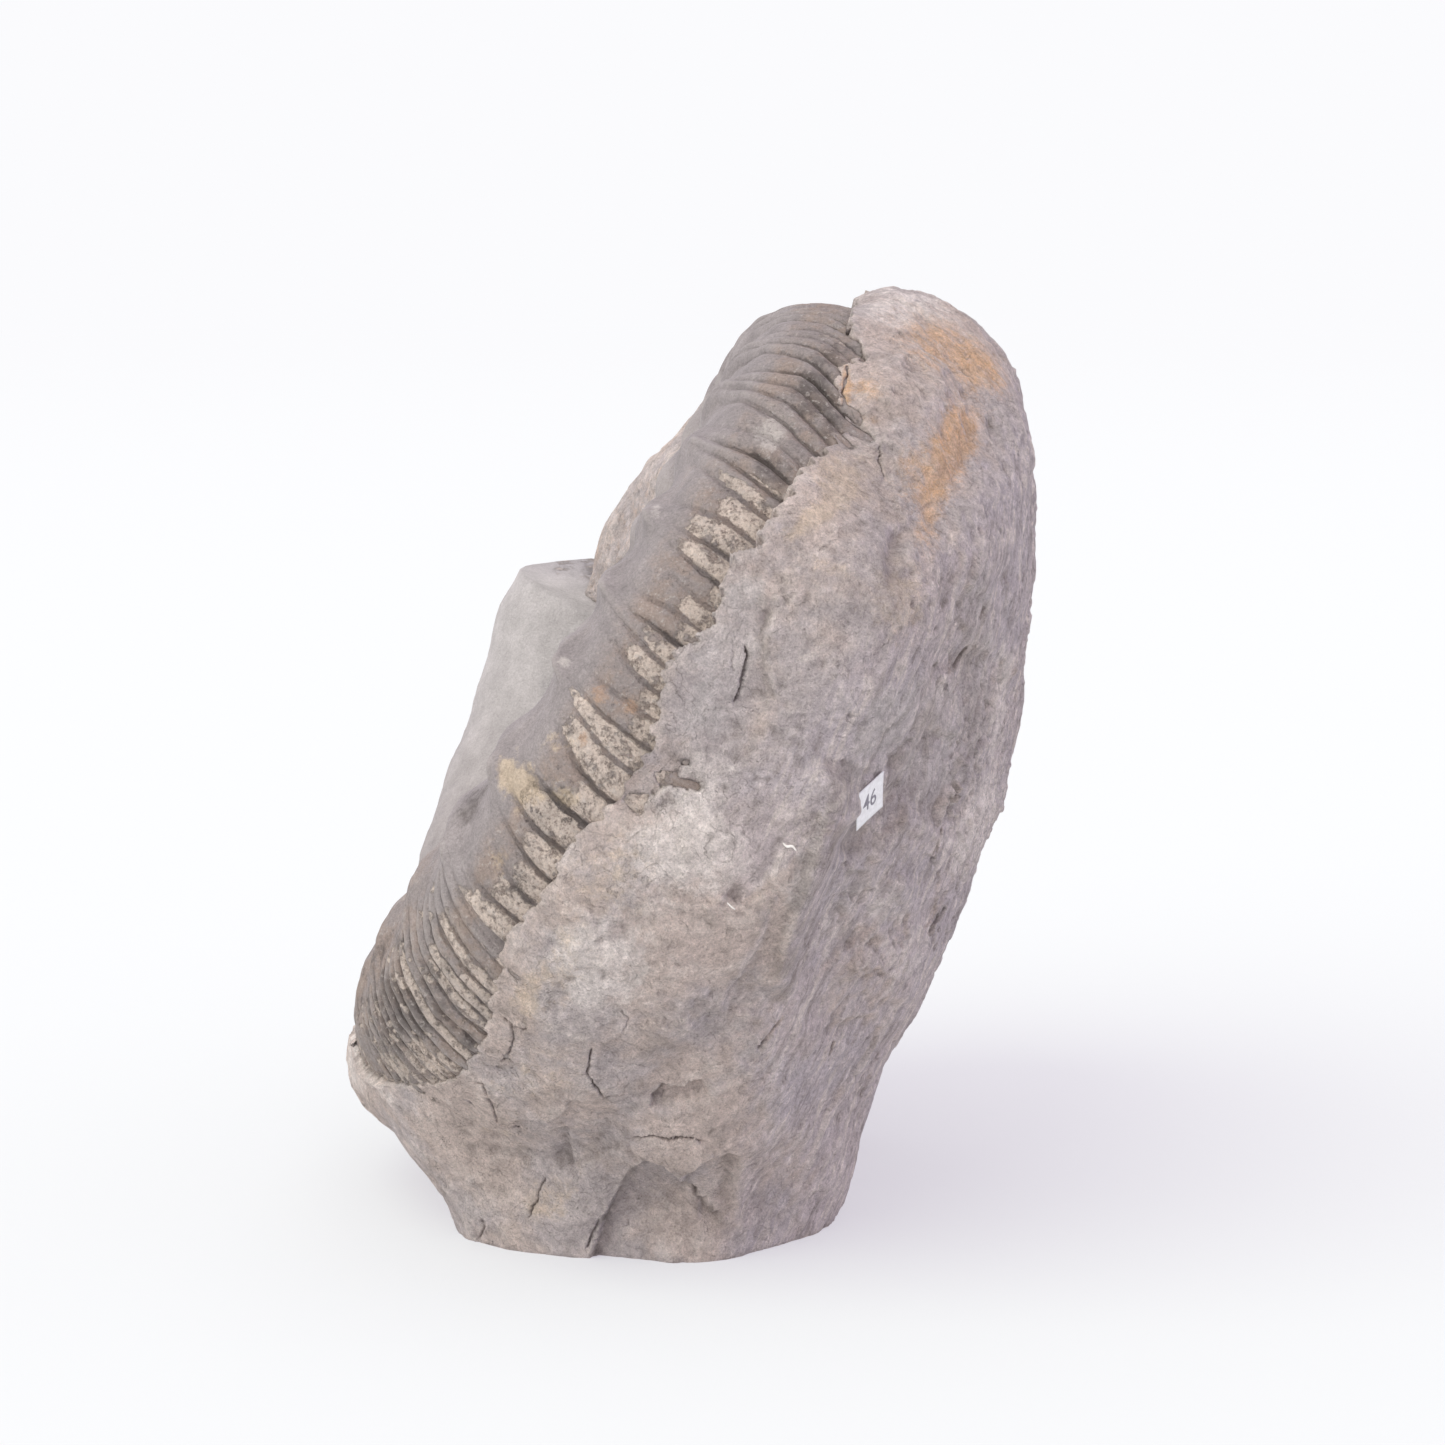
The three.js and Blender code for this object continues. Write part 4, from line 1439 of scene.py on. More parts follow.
LEDGES = (
    Stroke(
        ((592, 1254), (603, 1219), (618, 1192), (629, 1171), (645, 1162), (664, 1168), (678, 1181)),
        2.6, -2.4, Touch.STEP, 105, False,
    ),
    Stroke(((678, 1181), (696, 1171), (712, 1160), (728, 1155), (741, 1157)), 2.6, -1.9, Touch.STEP, 90),
    Stroke(((649, 1108), (653, 1096), (661, 1084), (683, 1088), (702, 1077)), 2.4, -1.6, Touch.STEP, 24),
    Stroke(((777, 606), (768, 630), (765, 652), (770, 680), (776, 704)), 5.0, -1.3, Touch.STEP, 60),
    Stroke(((706, 786), (690, 792), (668, 786), (648, 800), (638, 822)), 3.0, -1.1, Touch.STEP, 60),
    Stroke(
        ((507, 1124), (520, 1121), (533, 1122), (545, 1125), (558, 1119), (566, 1112), (568, 1098)),
        2.4, -1.0, Touch.STEP, 46,
    ),
    Stroke(((568, 1130), (571, 1148), (574, 1166)), 2.4, -1.0, Touch.STEP, 26),
    Stroke(((574, 1166), (590, 1158), (606, 1149), (629, 1142)), 2.4, 0.8, Touch.STEP, 30),
    Stroke(((828, 798), (812, 870), (790, 930), (772, 985)), 5.0, -1.3, Touch.STEP, 40),
    Stroke(((944, 662), (950, 676), (957, 698), (957, 720), (951, 742)), 3.0, 1.2, Touch.STEP, 34),
    Stroke(((560, 915), (580, 905), (600, 915), (612, 900)), 2.4, 0.5, Touch.STEP, 30),
    Stroke(((700, 905), (722, 896), (748, 902), (770, 888)), 2.6, 0.6, Touch.STEP, 34),
    Stroke(((640, 1030), (655, 1018), (668, 1026), (690, 1012)), 2.4, 0.6, Touch.STEP, 34),
)

FORMS = (
    Stroke(RIDGE, 12, 1.7),
    Stroke(CORNER, 22, 2.1),
    Stroke(((870, 800), (850, 880), (830, 960), (815, 1040)), 26, -1.4),
    Stroke(((905, 870), (902, 940), (895, 1010)), 14, 1.0),
    Stroke(((1004, 520), (990, 560), (975, 595)), 14, 0.9),
    Stroke(((985, 640), (974, 690), (966, 740), (950, 790), (925, 830)), 25, -2.2),
    Stroke(((940, 720), (912, 780), (880, 830)), 18, -1.2),
    Stroke(((962, 650), (952, 665)), 3.4, -3.5, soft_ends=False),
    Stroke(((898, 578), (893, 555), (899, 535)), 9, -1.5, soft_ends=False),
    Stroke(((845, 412), (858, 420), (866, 430)), 6, -0.9, soft_ends=False),
    Stroke(((880, 836), (866, 840), (858, 850)), 11, -1.3, soft_ends=False),
    Stroke(((640, 830), (700, 860), (740, 880)), 34, 0.7),
    Stroke(((855, 340), (858, 350), (863, 357)), 3, -1.6, soft_ends=False),
    Stroke(((640, 1090), (620, 1010), (640, 960)), 26, -0.6),
    Stroke(((470, 1100), (540, 1110), (600, 1105)), 18, 0.6),
    Stroke(((800, 1245), (830, 1180), (800, 1120)), 22, 0.7),
    Stroke(((1002, 560), (1008, 640), (1000, 720)), 16, -0.8),
)

STONE_STAINS = (
    *stained(
        Mark.RUST,
        ((940, 345), (52, 30), 30, 0.8),
        ((985, 372), (28, 16), 45, 0.8),
        ((958, 432), (22, 34), 10, 1.0),
        ((942, 470), (22, 44), 15, 0.75),
        ((928, 520), (14, 40), 5, 0.65),
        ((905, 470), (22, 30), 15, 0.5),
        ((866, 388), (20, 14), 10, 0.7),
        ((846, 386), (5, 28), 0, 0.9),
        ((872, 420), (14, 8), 0, 0.5),
    ),
    *stained(
        Mark.OCHRE,
        ((838, 480), (34, 30), -40, 0.85),
        ((806, 524), (34, 12), -35, 0.9),
        ((826, 566), (24, 14), 10, 0.55),
        ((900, 600), (44, 44), 0, 0.7),
        ((620, 870), (60, 50), 20, 0.5),
        ((560, 960), (40, 60), 20, 0.55),
        ((526, 1000), (14, 24), 0, 0.6),
        ((545, 1080), (60, 34), 0, 0.45),
        ((548, 1200), (34, 26), -30, 0.7),
        ((500, 1130), (40, 14), 20, 0.4),
    ),
    *stained(
        Mark.PALE,
        ((690, 850), (66, 54), 0, 1.0),
        ((598, 965), (64, 54), 20, 0.95),
        ((700, 770), (50, 40), 0, 0.5),
        ((890, 310), (40, 26), 10, 0.75),
        ((940, 310), (40, 20), 30, 0.5),
        ((735, 640), (40, 50), 0, 0.5),
        ((830, 920), (20, 60), 15, 0.5),
        ((875, 900), (22, 40), 15, 0.45),
        ((846, 794), (9, 4), -35, 1.0),
        ((836, 806), (10, 3), -40, 0.8),
        ((882, 800), (4, 16), 20, 0.9),
        ((938, 690), (10, 26), 20, 0.6),
        ((960, 830), (26, 60), 15, 0.6),
        ((905, 960), (40, 60), 15, 0.55),
        ((1000, 700), (14, 90), 5, 0.7),
        ((985, 830), (20, 60), 15, 0.5),
        ((350, 1040), (26, 60), 0, 0.75),
        ((400, 1100), (50, 30), 40, 0.45),
    ),
    *stained(
        Mark.SLATE,
        ((728, 650), (36, 52), 30, 1.0),
        ((700, 720), (40, 30), 0, 0.7),
        ((745, 592), (26, 14), -20, 0.8),
        ((805, 880), (16, 70), 18, 0.9),
        ((760, 1050), (50, 60), 0, 0.5),
        ((935, 760), (60, 90), 20, 0.7),
        ((980, 620), (30, 90), 0, 0.6),
        ((880, 720), (50, 24), -55, 0.8),
    ),
    # Dark patches, most of them painted shade: in small holes and cracks, in hollows and the valley beside
    # the ridge, under a ledge and low near the foot.
    *stained(
        Mark.SOIL,
        ((856, 424), (18, 10), 30, 0.7),
        ((894, 556), (12, 26), 10, 0.7),
        ((868, 843), (18, 12), 0, 0.9),
        ((957, 658), (4, 10), 35, 1.0),
        ((983, 613), (3, 6), 30, 0.9),
        ((970, 700), (12, 34), 10, 0.5),
        ((680, 1215), (80, 34), 0, 0.65),
        ((880, 600), (44, 40), 0, 0.75),
        ((875, 465), (44, 34), 20, 0.7),
        ((510, 1180), (60, 40), 20, 0.35),
        ((905, 800), (30, 40), 25, 0.45),
        ((975, 740), (16, 40), 15, 0.5),
        ((600, 1160), (50, 16), 10, 0.4),
        ((664, 1098), (14, 9), -10, 0.6),
        ((600, 1150), (26, 12), -20, 0.35),
        ((861, 352), (4, 9), -30, 1.0),
        ((350, 985), (12, 18), 0, 0.8),
    ),
)

EDGE_SHIFTS = (
    (23.0, 0.0),
    (29.0, -2.8),
    (34.5, 1.0),
    (44.0, -2.8),
    (52.0, -0.4),
    (66.0, -0.3),
    (69.5, 2.0),
    (74.5, -0.4),
    (82.0, 1.8),
    (90.0, -1.8),
    (98.0, -0.4),
    (104.0, 1.2),
    (113.0, 1.8),
    (119.0, 3.8),
    (125.0, 2.4),
    (131.0, 0.2),
    (141.0, 0.3),
    (148.0, 3.7),
    (154.0, 5.5),
    (160.0, 4.5),
    (170.0, 2.0),
    (180.0, 0.0),
)


def terraced(height: Array, step: float, sharp: float = 0.07) -> Array:
    """A height turned into flat levels that far apart, with short slopes between them."""
    levels = height / step
    base = np.floor(levels)
    return (base + smoothstep(levels - base, 0.5 - sharp, 0.5 + sharp)) * step


@dataclass
class Siltstone:
    """The block round the shell. Its outline is a rounded polyhedron that follows the shell's rim."""

    name: str = "siltstone_block"
    node: str = "matrix_rock"
    depth: float = 18.0
    sharp: float = 18.0
    thin_cover: float = 1.6
    back_cover: float = 3.0
    lip_cover: float = 4.6
    feather: float = 11.0
    feathered_share: float = 0.85
    thinning: float = 20.0
    front_edge: float = 7.0
    lip_edge: float = 37.0
    back_edge: float = 21.0
    climb: Span = (144.0, 194.0)
    settle: Span = (199.0, 224.0)
    lip_share: float = 0.95
    fall: Span = (270.0, 330.0)
    edge_wave: float = 1.6
    edge_teeth: float = 1.5
    edge_side: float = 15.0
    edge_breaks: float = 0.9
    teeth_end: Span = (125.0, 160.0)
    breaks_end: Span = (145.0, 170.0)
    feathered_from: Span = (138.0, 156.0)
    roughness: float = 0.8
    fit: float = 0.06
    filling_middle: float = 311.0
    filling_arc: float = 47.0
    filling_across: float = 19.0
    filling_high: float = 19.0
    filling_falls: float = 12.0
    most_triangles: int = 188_000
    farthest: float = 160.0
    nearest: float = 40.0
    stride: float = 2.0
    halvings: int = 7
    foot_tool: float = 400.0
    lip_near: float = 2.6
    lip_around: Span = (145.0, 262.0)
    lip_out: float = 60.0
    teeth_near: float = 1.6
    teeth_until: float = 165.0
    stroke_near: float = 3.5
    crack_near: float = 1.6
    front_facing: Span = (0.02, 0.25)
    front_end: float = 20.0
    shaken_facing: Span = (0.4, 0.85)
    cracked_facing: Span = (0.3, 0.5)
    jitters: Place = (2.5, 2.8, 2.4)
    even_rounds: int = 10
    hollow_rounds: int = 8
    smooth_faces: int = 3
    facet_size: float = 15.0
    facet_rise: float = 0.3
    small_facet_size: float = 5.5
    small_facet_rise: float = 0.16
    broad_rise: float = 0.5
    plate_step: float = 0.42
    rough_rise: float = 0.24
    layer_direction: Place = (0.45, 0.2, 0.86)
    layer_step: float = 0.3
    layer_rise: float = 0.4
    pit_rise: float = -0.5
    proud_edge: Span = (0.05, 0.3)
    deep_hollow: Span = (0.06, 0.4)
    finish: SiltstoneFinish = field(default_factory=SiltstoneFinish)
    piece: Piece | None = None

    @property
    def middle(self) -> Array:
        """The place that the block's outline is drawn around."""
        return np.array(COIL.centre) - self.depth * COIL.axes[2]

    def followed_radius(self, around: Array) -> Array:
        """The rim that the stone follows. Past the mouth it closes the ring."""
        share = (around - COIL.mouth_angle) / (360 - COIL.mouth_angle)
        end = COIL.rim_radius(-COIL.mouth_angle)
        ring = COIL.rim_radius(around - COIL.mouth_angle)
        closing = COIL.mouth_radius + (end - COIL.mouth_radius) * share
        return np.where(around < COIL.mouth_angle, ring, closing)

    def half_width(self, around: Array) -> Array:
        """Half the width of the whorl that the stone follows."""
        turn = np.minimum(around - COIL.mouth_angle, 0)
        return self.followed_radius(around) * COIL.half_width * COIL.widening(turn)

    def edge_heights(self, around: Array) -> tuple[Array, Array]:
        """How high above the shell's middle the stone ends on the rim, and the teeth it has there."""
        climb, settle, fall = (smoothstep(around, *ends) for ends in (self.climb, self.settle, self.fall))
        plain = self.front_edge + (self.lip_edge - self.front_edge) * climb
        plain = plain - (self.lip_edge - self.back_edge) * settle - (self.back_edge - self.front_edge) * fall
        plain = plain + self.edge_wave * np.cos(np.radians(4 * (around - 10)))
        plain = plain + np.interp(around, *zip(*EDGE_SHIFTS))
        plain = np.minimum(plain, self.lip_share * (self.half_width(around) + self.lip_cover))
        lean = RIBS.leaning(around, np.full_like(around, self.edge_side))
        turn = around - lean - COIL.mouth_angle
        own = COIL.on_ring(around) * self.followed_radius(around)[:, None]
        ribs = RIBS.split * RIBS.phase(turn, own)
        share = ribs - np.floor(ribs)
        tooth = share - smoothstep(share, 0.80, 1.0) - 0.4
        line = np.stack([around * 1.3, np.zeros_like(around), np.zeros_like(around)], axis=1)
        broken = self.edge_breaks * Grain(41).layers(line, 9.0, 4, 0.7)
        broken = broken * (1 - 0.9 * smoothstep(around, *self.breaks_end))
        front = 1 - smoothstep(around, *self.teeth_end)
        return plain, self.edge_teeth * tooth * front + broken

    def cover_reach(self, along: Array, across: Array, around: Array, edge: Array) -> Array:
        """How far from the middle a ray leaves the last whorl, with the stone's cover on it."""
        found = np.zeros_like(along)
        clear = np.full_like(along, self.farthest)
        radius = self.followed_radius(around)
        width = self.half_width(around)
        lip = smoothstep(around, *self.climb) - smoothstep(around, *self.settle)
        feathered = smoothstep(around, *self.feathered_from)

        def inside(reach: Array) -> Array:
            """Whether places that far along the rays lie in the covered whorl."""
            out, up = across * reach, along * reach - self.depth
            thin = smoothstep(up - edge, -self.thinning, 0)
            cover = self.back_cover + (self.thin_cover - self.back_cover) * thin
            cover = cover + (self.lip_cover - cover) * lip
            fine = smoothstep(up - edge, -self.feather, -0.5)
            cover = cover * (1 - self.feathered_share * feathered * fine)
            o = (out - radius * (1 - COIL.half_height)) / (radius * COIL.half_height + cover)
            u = up / (width + cover)
            return np.abs(o) ** COIL.fullness + np.abs(u) ** COIL.fullness < 1

        for reach in np.arange(self.farthest, self.nearest, -self.stride):
            hit = (found == 0) & inside(np.full_like(along, reach))
            found = np.where(hit, reach, found)
            clear = np.where(found == 0, reach, clear)
        low, high = found.copy(), clear
        for _ in range(self.halvings):
            middle = (low + high) / 2
            hit = inside(middle)
            low, high = np.where(hit, middle, low), np.where(hit, high, middle)
        return np.where(found > 0, low, 0.0)

    def edge_height(self, around: Array) -> Array:
        """How high above the shell's middle the stone ends on the rim, with its teeth."""
        return sum(self.edge_heights(around))

    def bowl_reach(self, along: Array, across: Array, around: Array, edge: Array) -> Array:
        """How far it reaches the bowl that the stone ends in, inside the shell."""
        curve = edge * (across / self.followed_radius(around)) ** 2
        root = along**2 - 4 * curve * self.depth
        reach = (along - np.sqrt(np.maximum(root, 0))) / (2 * curve + 1e-9)
        return np.where((along <= 0) | (root < 0), 1e6, reach)

    def toothed_bowl(self, along: Array, across: Array, around: Array) -> Array:
        """The reach of the bowl, which has teeth only along its rim."""
        plain, teeth = self.edge_heights(around)
        first = self.bowl_reach(along, across, around, plain)
        near_rim = smoothstep(np.minimum(first, 200) * across / self.followed_radius(around), 0.93, 0.99)
        return self.bowl_reach(along, across, around, plain + teeth * near_rim)

    def outline(self, directions: Array) -> Array:
        """Where rays from the middle meet the block's surface.

        Args:
            directions: Outward directions, one a row.

        Returns:
            Places in millimetres, one a row.
        """
        total = np.zeros(len(directions))
        for face in BLOCK_FACES:
            normal = unit(np.array(face.direction, float))
            away = normal @ (np.array(face.through, float) - self.middle)
            total += np.maximum(0, directions @ normal / away) ** self.sharp
        block = total ** (-1 / self.sharp)
        along = directions @ COIL.axes[2]
        across = np.sqrt(np.maximum(1 - along**2, 0))
        around = np.degrees(np.arctan2(-directions[:, 1], directions @ COIL.axes[1])) % 360
        shell = (along, across, around, self.edge_height(around))
        cover = self.cover_reach(*shell)
        first = directions * np.maximum(block, cover)[:, None] + self.middle
        x, y, z = first.T
        uneven = np.sin(x / 7 + 1) * np.sin(y / 9) + np.sin(z / 8 - y / 12)
        rise = self.roughness / 2 * uneven + sum(lump.height(first) for lump in BLOCK_LUMPS)
        bowl = self.toothed_bowl(along, across, around)
        reach = np.minimum(bowl, np.maximum(block + rise, cover + np.maximum(0, rise)))
        return directions * reach[:, None] + self.middle

    def rough_out(self) -> None:
        """Adds a ball and gives its points the block's outline, finer where more shows."""
        bpy.ops.mesh.primitive_ico_sphere_add(subdivisions=7, radius=MM)
        self.piece = added(self.name)
        for chooser in (self.seen_faces, self.marked_faces, self.cracked_faces):
            self.divide(chooser)
        directions = unit(points_of(self.piece))
        move_points(self.piece, self.outline(directions))
        log.info("rough block: %d faces", len(self.piece.data.polygons))

    def divide(self, chooser: Callable[[Array, Array], Array]) -> None:
        """Divides the ball's faces that the chooser picks by their middles and outward directions."""
        middle = self.outline(unit(face_middles(self.piece)))
        pick_faces(self.piece, chooser(middle, unit(face_middles(self.piece))))
        in_edit_mode(self.piece, lambda: bpy.ops.mesh.subdivide(number_cuts=1))

    def in_front(self, places: Array, directions: Array) -> Array:
        """Whether places lie on the side that the front view shows."""
        return (directions[:, 1] < 0.12) & (places[:, 1] < 12) & (places[:, 2] > -1)

    def seen_faces(self, places: Array, directions: Array) -> Array:
        """Faces on the side that the front view shows."""
        height = COIL.to_own(places)[:, 2]
        front = self.in_front(places, directions) & (height < 16) & (VIEW.pixels(places)[:, 0] > 320)
        return front | self.on_lip(places)

    def on_lip(self, places: Array) -> Array:
        """Whether places lie near the lip's edge, under the mouth."""
        own = COIL.to_own(places)
        around = COIL.around(own)
        near = np.abs(own[:, 2] - self.edge_height(around)) < self.lip_near
        near &= (around > self.lip_around[0]) & (around < self.lip_around[1])
        return near & (np.hypot(own[:, 0], own[:, 1]) > self.lip_out)

    def marked_faces(self, places: Array, directions: Array) -> Array:
        """Faces near the edge on the ribs, the cracks and the ledges."""
        at = VIEW.pixels(places)
        own = COIL.to_own(places)
        around = COIL.around(own)
        near = np.abs(own[:, 2] - self.edge_height(around)) < self.teeth_near
        near &= around < self.teeth_until
        near &= np.hypot(own[:, 0], own[:, 1]) > self.followed_radius(around) - 5
        for stroke in (*CRACKS, *LEDGES):
            signed, _ = path_distance(at, stroke.path)
            near |= np.abs(signed) < stroke.wide + self.stroke_near
        return near & self.in_front(places, directions)

    def cracked_faces(self, places: Array, directions: Array) -> Array:
        """Faces in the cracks and on the sharpest ledges."""
        at = VIEW.pixels(places)
        near = np.zeros(len(at), bool)
        for stroke in (*CRACKS, *LEDGES[:3]):
            signed, _ = path_distance(at, stroke.path)
            near |= np.abs(signed) < stroke.wide + self.crack_near
        return near & self.in_front(places, directions)

    def front(self, points: Array, normals: Array) -> Array:
        """How far a place belongs to the front that the camera sees, from 0 to 1."""
        return smoothstep(VIEW.facing(points, normals), *self.front_facing) * (points[:, 1] < self.front_end)

    def weather(self) -> None:
        """Gives the surface its facets, plates, grain, pits and layers."""
        points, normals = points_of(self.piece), normals_of(self.piece)
        facets = chips(Grain(51).warp(points, 13.0, 3.5), self.facet_size, 4)
        small = chips(Grain(52).warp(points, 5.0, 1.6), self.small_facet_size, 9)
        broad = self.broad_rise * Grain(53).layers(points, 24.0, 2)
        plates = Grain(57).layers(Grain(58).warp(points, 9.0, 3.0), 19.0, 4, 0.55)
        plates = terraced(plates, self.plate_step)
        rough = self.rough_rise * Grain(54).layers(points, 5.0, 4, 0.68)
        lay = unit(np.array(self.layer_direction))
        across = points - 0.88 * (points @ lay)[:, None] * lay
        layers = terraced(0.9 * Grain(55).layers(across, 3.4, 3, 0.6), self.layer_step, 0.16)
        layers = layers * self.streaks(points, normals)
        lumps = self.facet_rise * facets + self.small_facet_rise * small
        pits = self.pit_rise * smoothstep(Grain(56).single(points, 2.3), 0.5, 0.66)
        calm = 1 - 0.7 * self.smooth_skin(points)
        crumbly = 0.5 + 0.6 * self.crumbling(points)
        rise = (lumps + (rough + plates) * crumbly) * calm + broad
        rise = rise + self.layer_rise * layers + pits * calm * crumbly
        own = COIL.to_own(points)
        near_edge = 1 - smoothstep(np.abs(own[:, 2] - 8), 2, 8)
        rise = rise * (1 - 0.6 * near_edge)
        move_points(self.piece, points + normals * rise[:, None])

    def streaks(self, points: Array, normals: Array) -> Array:
        """How much the layering shows, on faces that look right and in front beside the ridge; the finish
        paints cool shade there too.
        """
        right = smoothstep(normals[:, 0], 0.35, 0.8) * (1 - smoothstep(normals[:, 2], 0.3, 0.7))
        signed, along = path_distance(VIEW.pixels(points), RIDGE)
        beside = smoothstep(signed, -10, 10) * (1 - smoothstep(signed, 60, 130)) * (along > 0.001)
        return np.maximum(right, 0.8 * beside * (points[:, 1] < 10))

    def smooth_skin(self, points: Array) -> Array:
        """Where the stone split along a smooth face, from 0 to 1."""
        at = VIEW.pixels(points)
        smooth = [patch for patch in STONE_STAINS if patch.mark is Mark.SLATE][: self.smooth_faces]
        return np.clip(stain_at(smooth, Mark.SLATE, at), 0, 1) * (points[:, 1] < self.front_end)

    def crumbling(self, points: Array) -> Array:
        """Where the surface is coarse and broken, from 0 to 1."""
        at = VIEW.pixels(points)
        front = stain_at(STONE_STAINS, Mark.PALE, at)
        loose = smoothstep(Grain(59).layers(points, 22.0, 2), 0.0, 0.4)
        return np.clip(np.where(points[:, 1] < self.front_end, front, 0.0) + loose, 0, 1)

    def shaken(self, at: Array, points: Array, normals: Array, reach: float) -> Array:
        """Places in the picture, each moved by up to about that many pixels, so that lines run rough."""
        shake = np.stack([Grain(seed).layers(points, 2.4, 4, 0.7) for seed in (61, 62)], axis=1)
        return at + reach * smoothstep(VIEW.facing(points, normals), *self.shaken_facing)[:, None] * shake

    def sculpt(self) -> None:
        """Works the front's forms, ledges and cracks into the surface."""
        pairs = pairs_of(self.piece)
        for strokes, jitter in zip((FORMS, LEDGES, CRACKS), self.jitters):
            points = points_of(self.piece)
            normals = unit(averaged(normals_of(self.piece), pairs, self.even_rounds))
            at = self.shaken(VIEW.pixels(points), points, normals, jitter)
            front = self.front(points, normals)
            rise = sum(stroke.height * stroke.weight(at) for stroke in strokes)
            if strokes is CRACKS:
                front = front * smoothstep(VIEW.facing(points, normals), *self.cracked_facing)
                # Painted shade in the cracks.
                cracked = sum(smoothstep(stroke.weight(at), 0.35, 0.9) for stroke in CRACKS)
                cracked = cracked * smoothstep(Grain(63).layers(points, 4.0, 2), -0.45, 0.05)
                paint(self.piece, Mark.GROOVE, cracked * front)
            move_points(self.piece, points + normals * (rise * front)[:, None])

    def add_filling(self) -> None:
        """Joins on the rough lump that filled the next part of the shell, past its mouth."""
        bpy.ops.mesh.primitive_ico_sphere_add(subdivisions=6, radius=MM)
        lump = added("filling")
        way = unit(points_of(lump))
        square = (np.abs(way) ** 3).sum(axis=1) ** (-1 / 3)
        wobble = 1 + 0.05 * np.sin(7 * way[:, 0] + 2) * np.cos(6 * way[:, 1] + 4 * way[:, 2])
        x, y, z = (way * (square * wobble)[:, None]).T
        around = self.filling_middle + self.filling_arc * x
        middle = self.followed_radius(np.minimum(around, 360)) * (1 - COIL.half_height)
        out = middle + self.filling_across * y
        angle = np.radians(around)
        up = self.filling_high * z - self.filling_falls * x
        own = np.stack([out * np.sin(angle), out * np.cos(angle), up], axis=1)
        move_points(lump, COIL.to_world(own))
        points, normals = points_of(lump), normals_of(lump)
        facets = chips(Grain(71).warp(points, 9.0, 3.0), 11.0, 6)
        plates = terraced(0.9 * Grain(73).layers(Grain(58).warp(points, 9.0, 3.0), 15.0, 3, 0.6), 0.45)
        rise = 0.5 * facets + plates + 0.3 * Grain(72).layers(points, 4.0, 3, 0.6)
        move_points(lump, points + normals * rise[:, None])
        combine(self.piece, lump, "UNION")

    def cut_foot(self) -> None:
        """Cuts the block off flat where it stands."""
        size = self.foot_tool * MM
        bpy.ops.mesh.primitive_cube_add(size=size, location=(0, 0, -size / 2))
        combine(self.piece, added("foot_cut"), "DIFFERENCE")

    def cut_pocket(self, shell: Piece) -> None:
        """Takes out the room that the shell fills, with a hair of clearance."""
        only(shell)
        bpy.ops.object.duplicate()
        tool = bpy.context.view_layer.objects.active
        tool.parent = None
        for mark in Mark:
            layer = tool.data.attributes.get(mark.value)
            if layer is not None:
                tool.data.attributes.remove(layer)
        move_points(tool, points_of(tool) + self.fit * normals_of(tool))
        combine(self.piece, tool, "DIFFERENCE")

    def thin_out(self) -> None:
        """Merges the flattest faces until few enough are left."""
        count = sum(len(face.vertices) - 2 for face in self.piece.data.polygons)
        thinner = self.piece.modifiers.new("thinner", "DECIMATE")
        thinner.ratio = min(1.0, self.most_triangles / count)
        only(self.piece)
        bpy.ops.object.modifier_apply(modifier=thinner.name)

    def cut_seat(self, plate: Piece) -> None:
        """Flattens the place where the paper is glued."""
        combine(self.piece, plate, "DIFFERENCE")

    def paint_marks(self) -> None:
        """Stores stains, painted shade in the hollows and beside the ridge and the corner, layer streaks
        under a painted cool shade, and painted highlights on proud edges.
        """
        points, normals = points_of(self.piece), normals_of(self.piece)
        at = VIEW.pixels(points)
        front = self.front(points, normals)
        proud = proudness(self.piece, self.hollow_rounds)
        behind = 1 - smoothstep(-points[:, 1], -25, 5)
        elsewhere = {Mark.RUST: 0.3, Mark.OCHRE: 0.35, Mark.PALE: 0.55, Mark.SLATE: 0.55, Mark.SOIL: 0.0}
        for seed, (mark, most) in enumerate(elsewhere.items()):
            stain = stain_at(STONE_STAINS, mark, at) * front
            loose = most * smoothstep(Grain(80 + seed).layers(points, 26.0, 2), 0.12, 0.5)
            stains = stain + loose * behind
            if mark is Mark.SOIL:
                # Painted shade: darker in the hollows, and in strips beside the ridge and the corner.
                stains = stains + smoothstep(-proud, *self.deep_hollow) + self.shade(at, points) * front
            paint(self.piece, mark, stains)
        # Painted cool shade on faces that look right and beside the ridge, with the layer streaks.
        paint(self.piece, Mark.STREAK, self.streaks(points, normals))
        # Painted highlight on proud edges.
        paint(self.piece, Mark.EDGE, smoothstep(proud, *self.proud_edge))

    def shade(self, at: Array, points: Array) -> Array:
        """Painted shade: the dark strips that lie along the ridge and the corner, on their right in the
        picture.
        """
        total = np.zeros(len(at))
        for path, most, wide in SHADES:
            signed, along = path_distance(at, path)
            strip = smoothstep(-signed, -1, 4) * (1 - smoothstep(-signed, 0.3 * wide, wide))
            total += most * strip * ((along > 0.001) & (along < 0.999))
        return total * smoothstep(Grain(64).layers(points, 9.0, 3, 0.7), -0.5, 0.3)

    def build(self, shell: Piece, seat: Piece) -> Piece:
        """Makes, paints and hands over the stone.

        Args:
            shell: The finished shell, which fills the pocket.
            seat: A block that is cut away where the paper is glued.

        Returns:
            The finished piece.
        """
        self.rough_out()
        self.weather()
        self.sculpt()
        self.add_filling()
        self.cut_foot()
        self.cut_seat(seat)
        self.cut_pocket(shell)
        keep_largest(self.piece)
        self.thin_out()
        keep_in_box(self.piece, 0.0)
        self.paint_marks()
        dress(self.piece, self.finish)
        hand_over(self.piece, Slot.STONE, self.node)
        return self.piece


# ---- The paper number ----


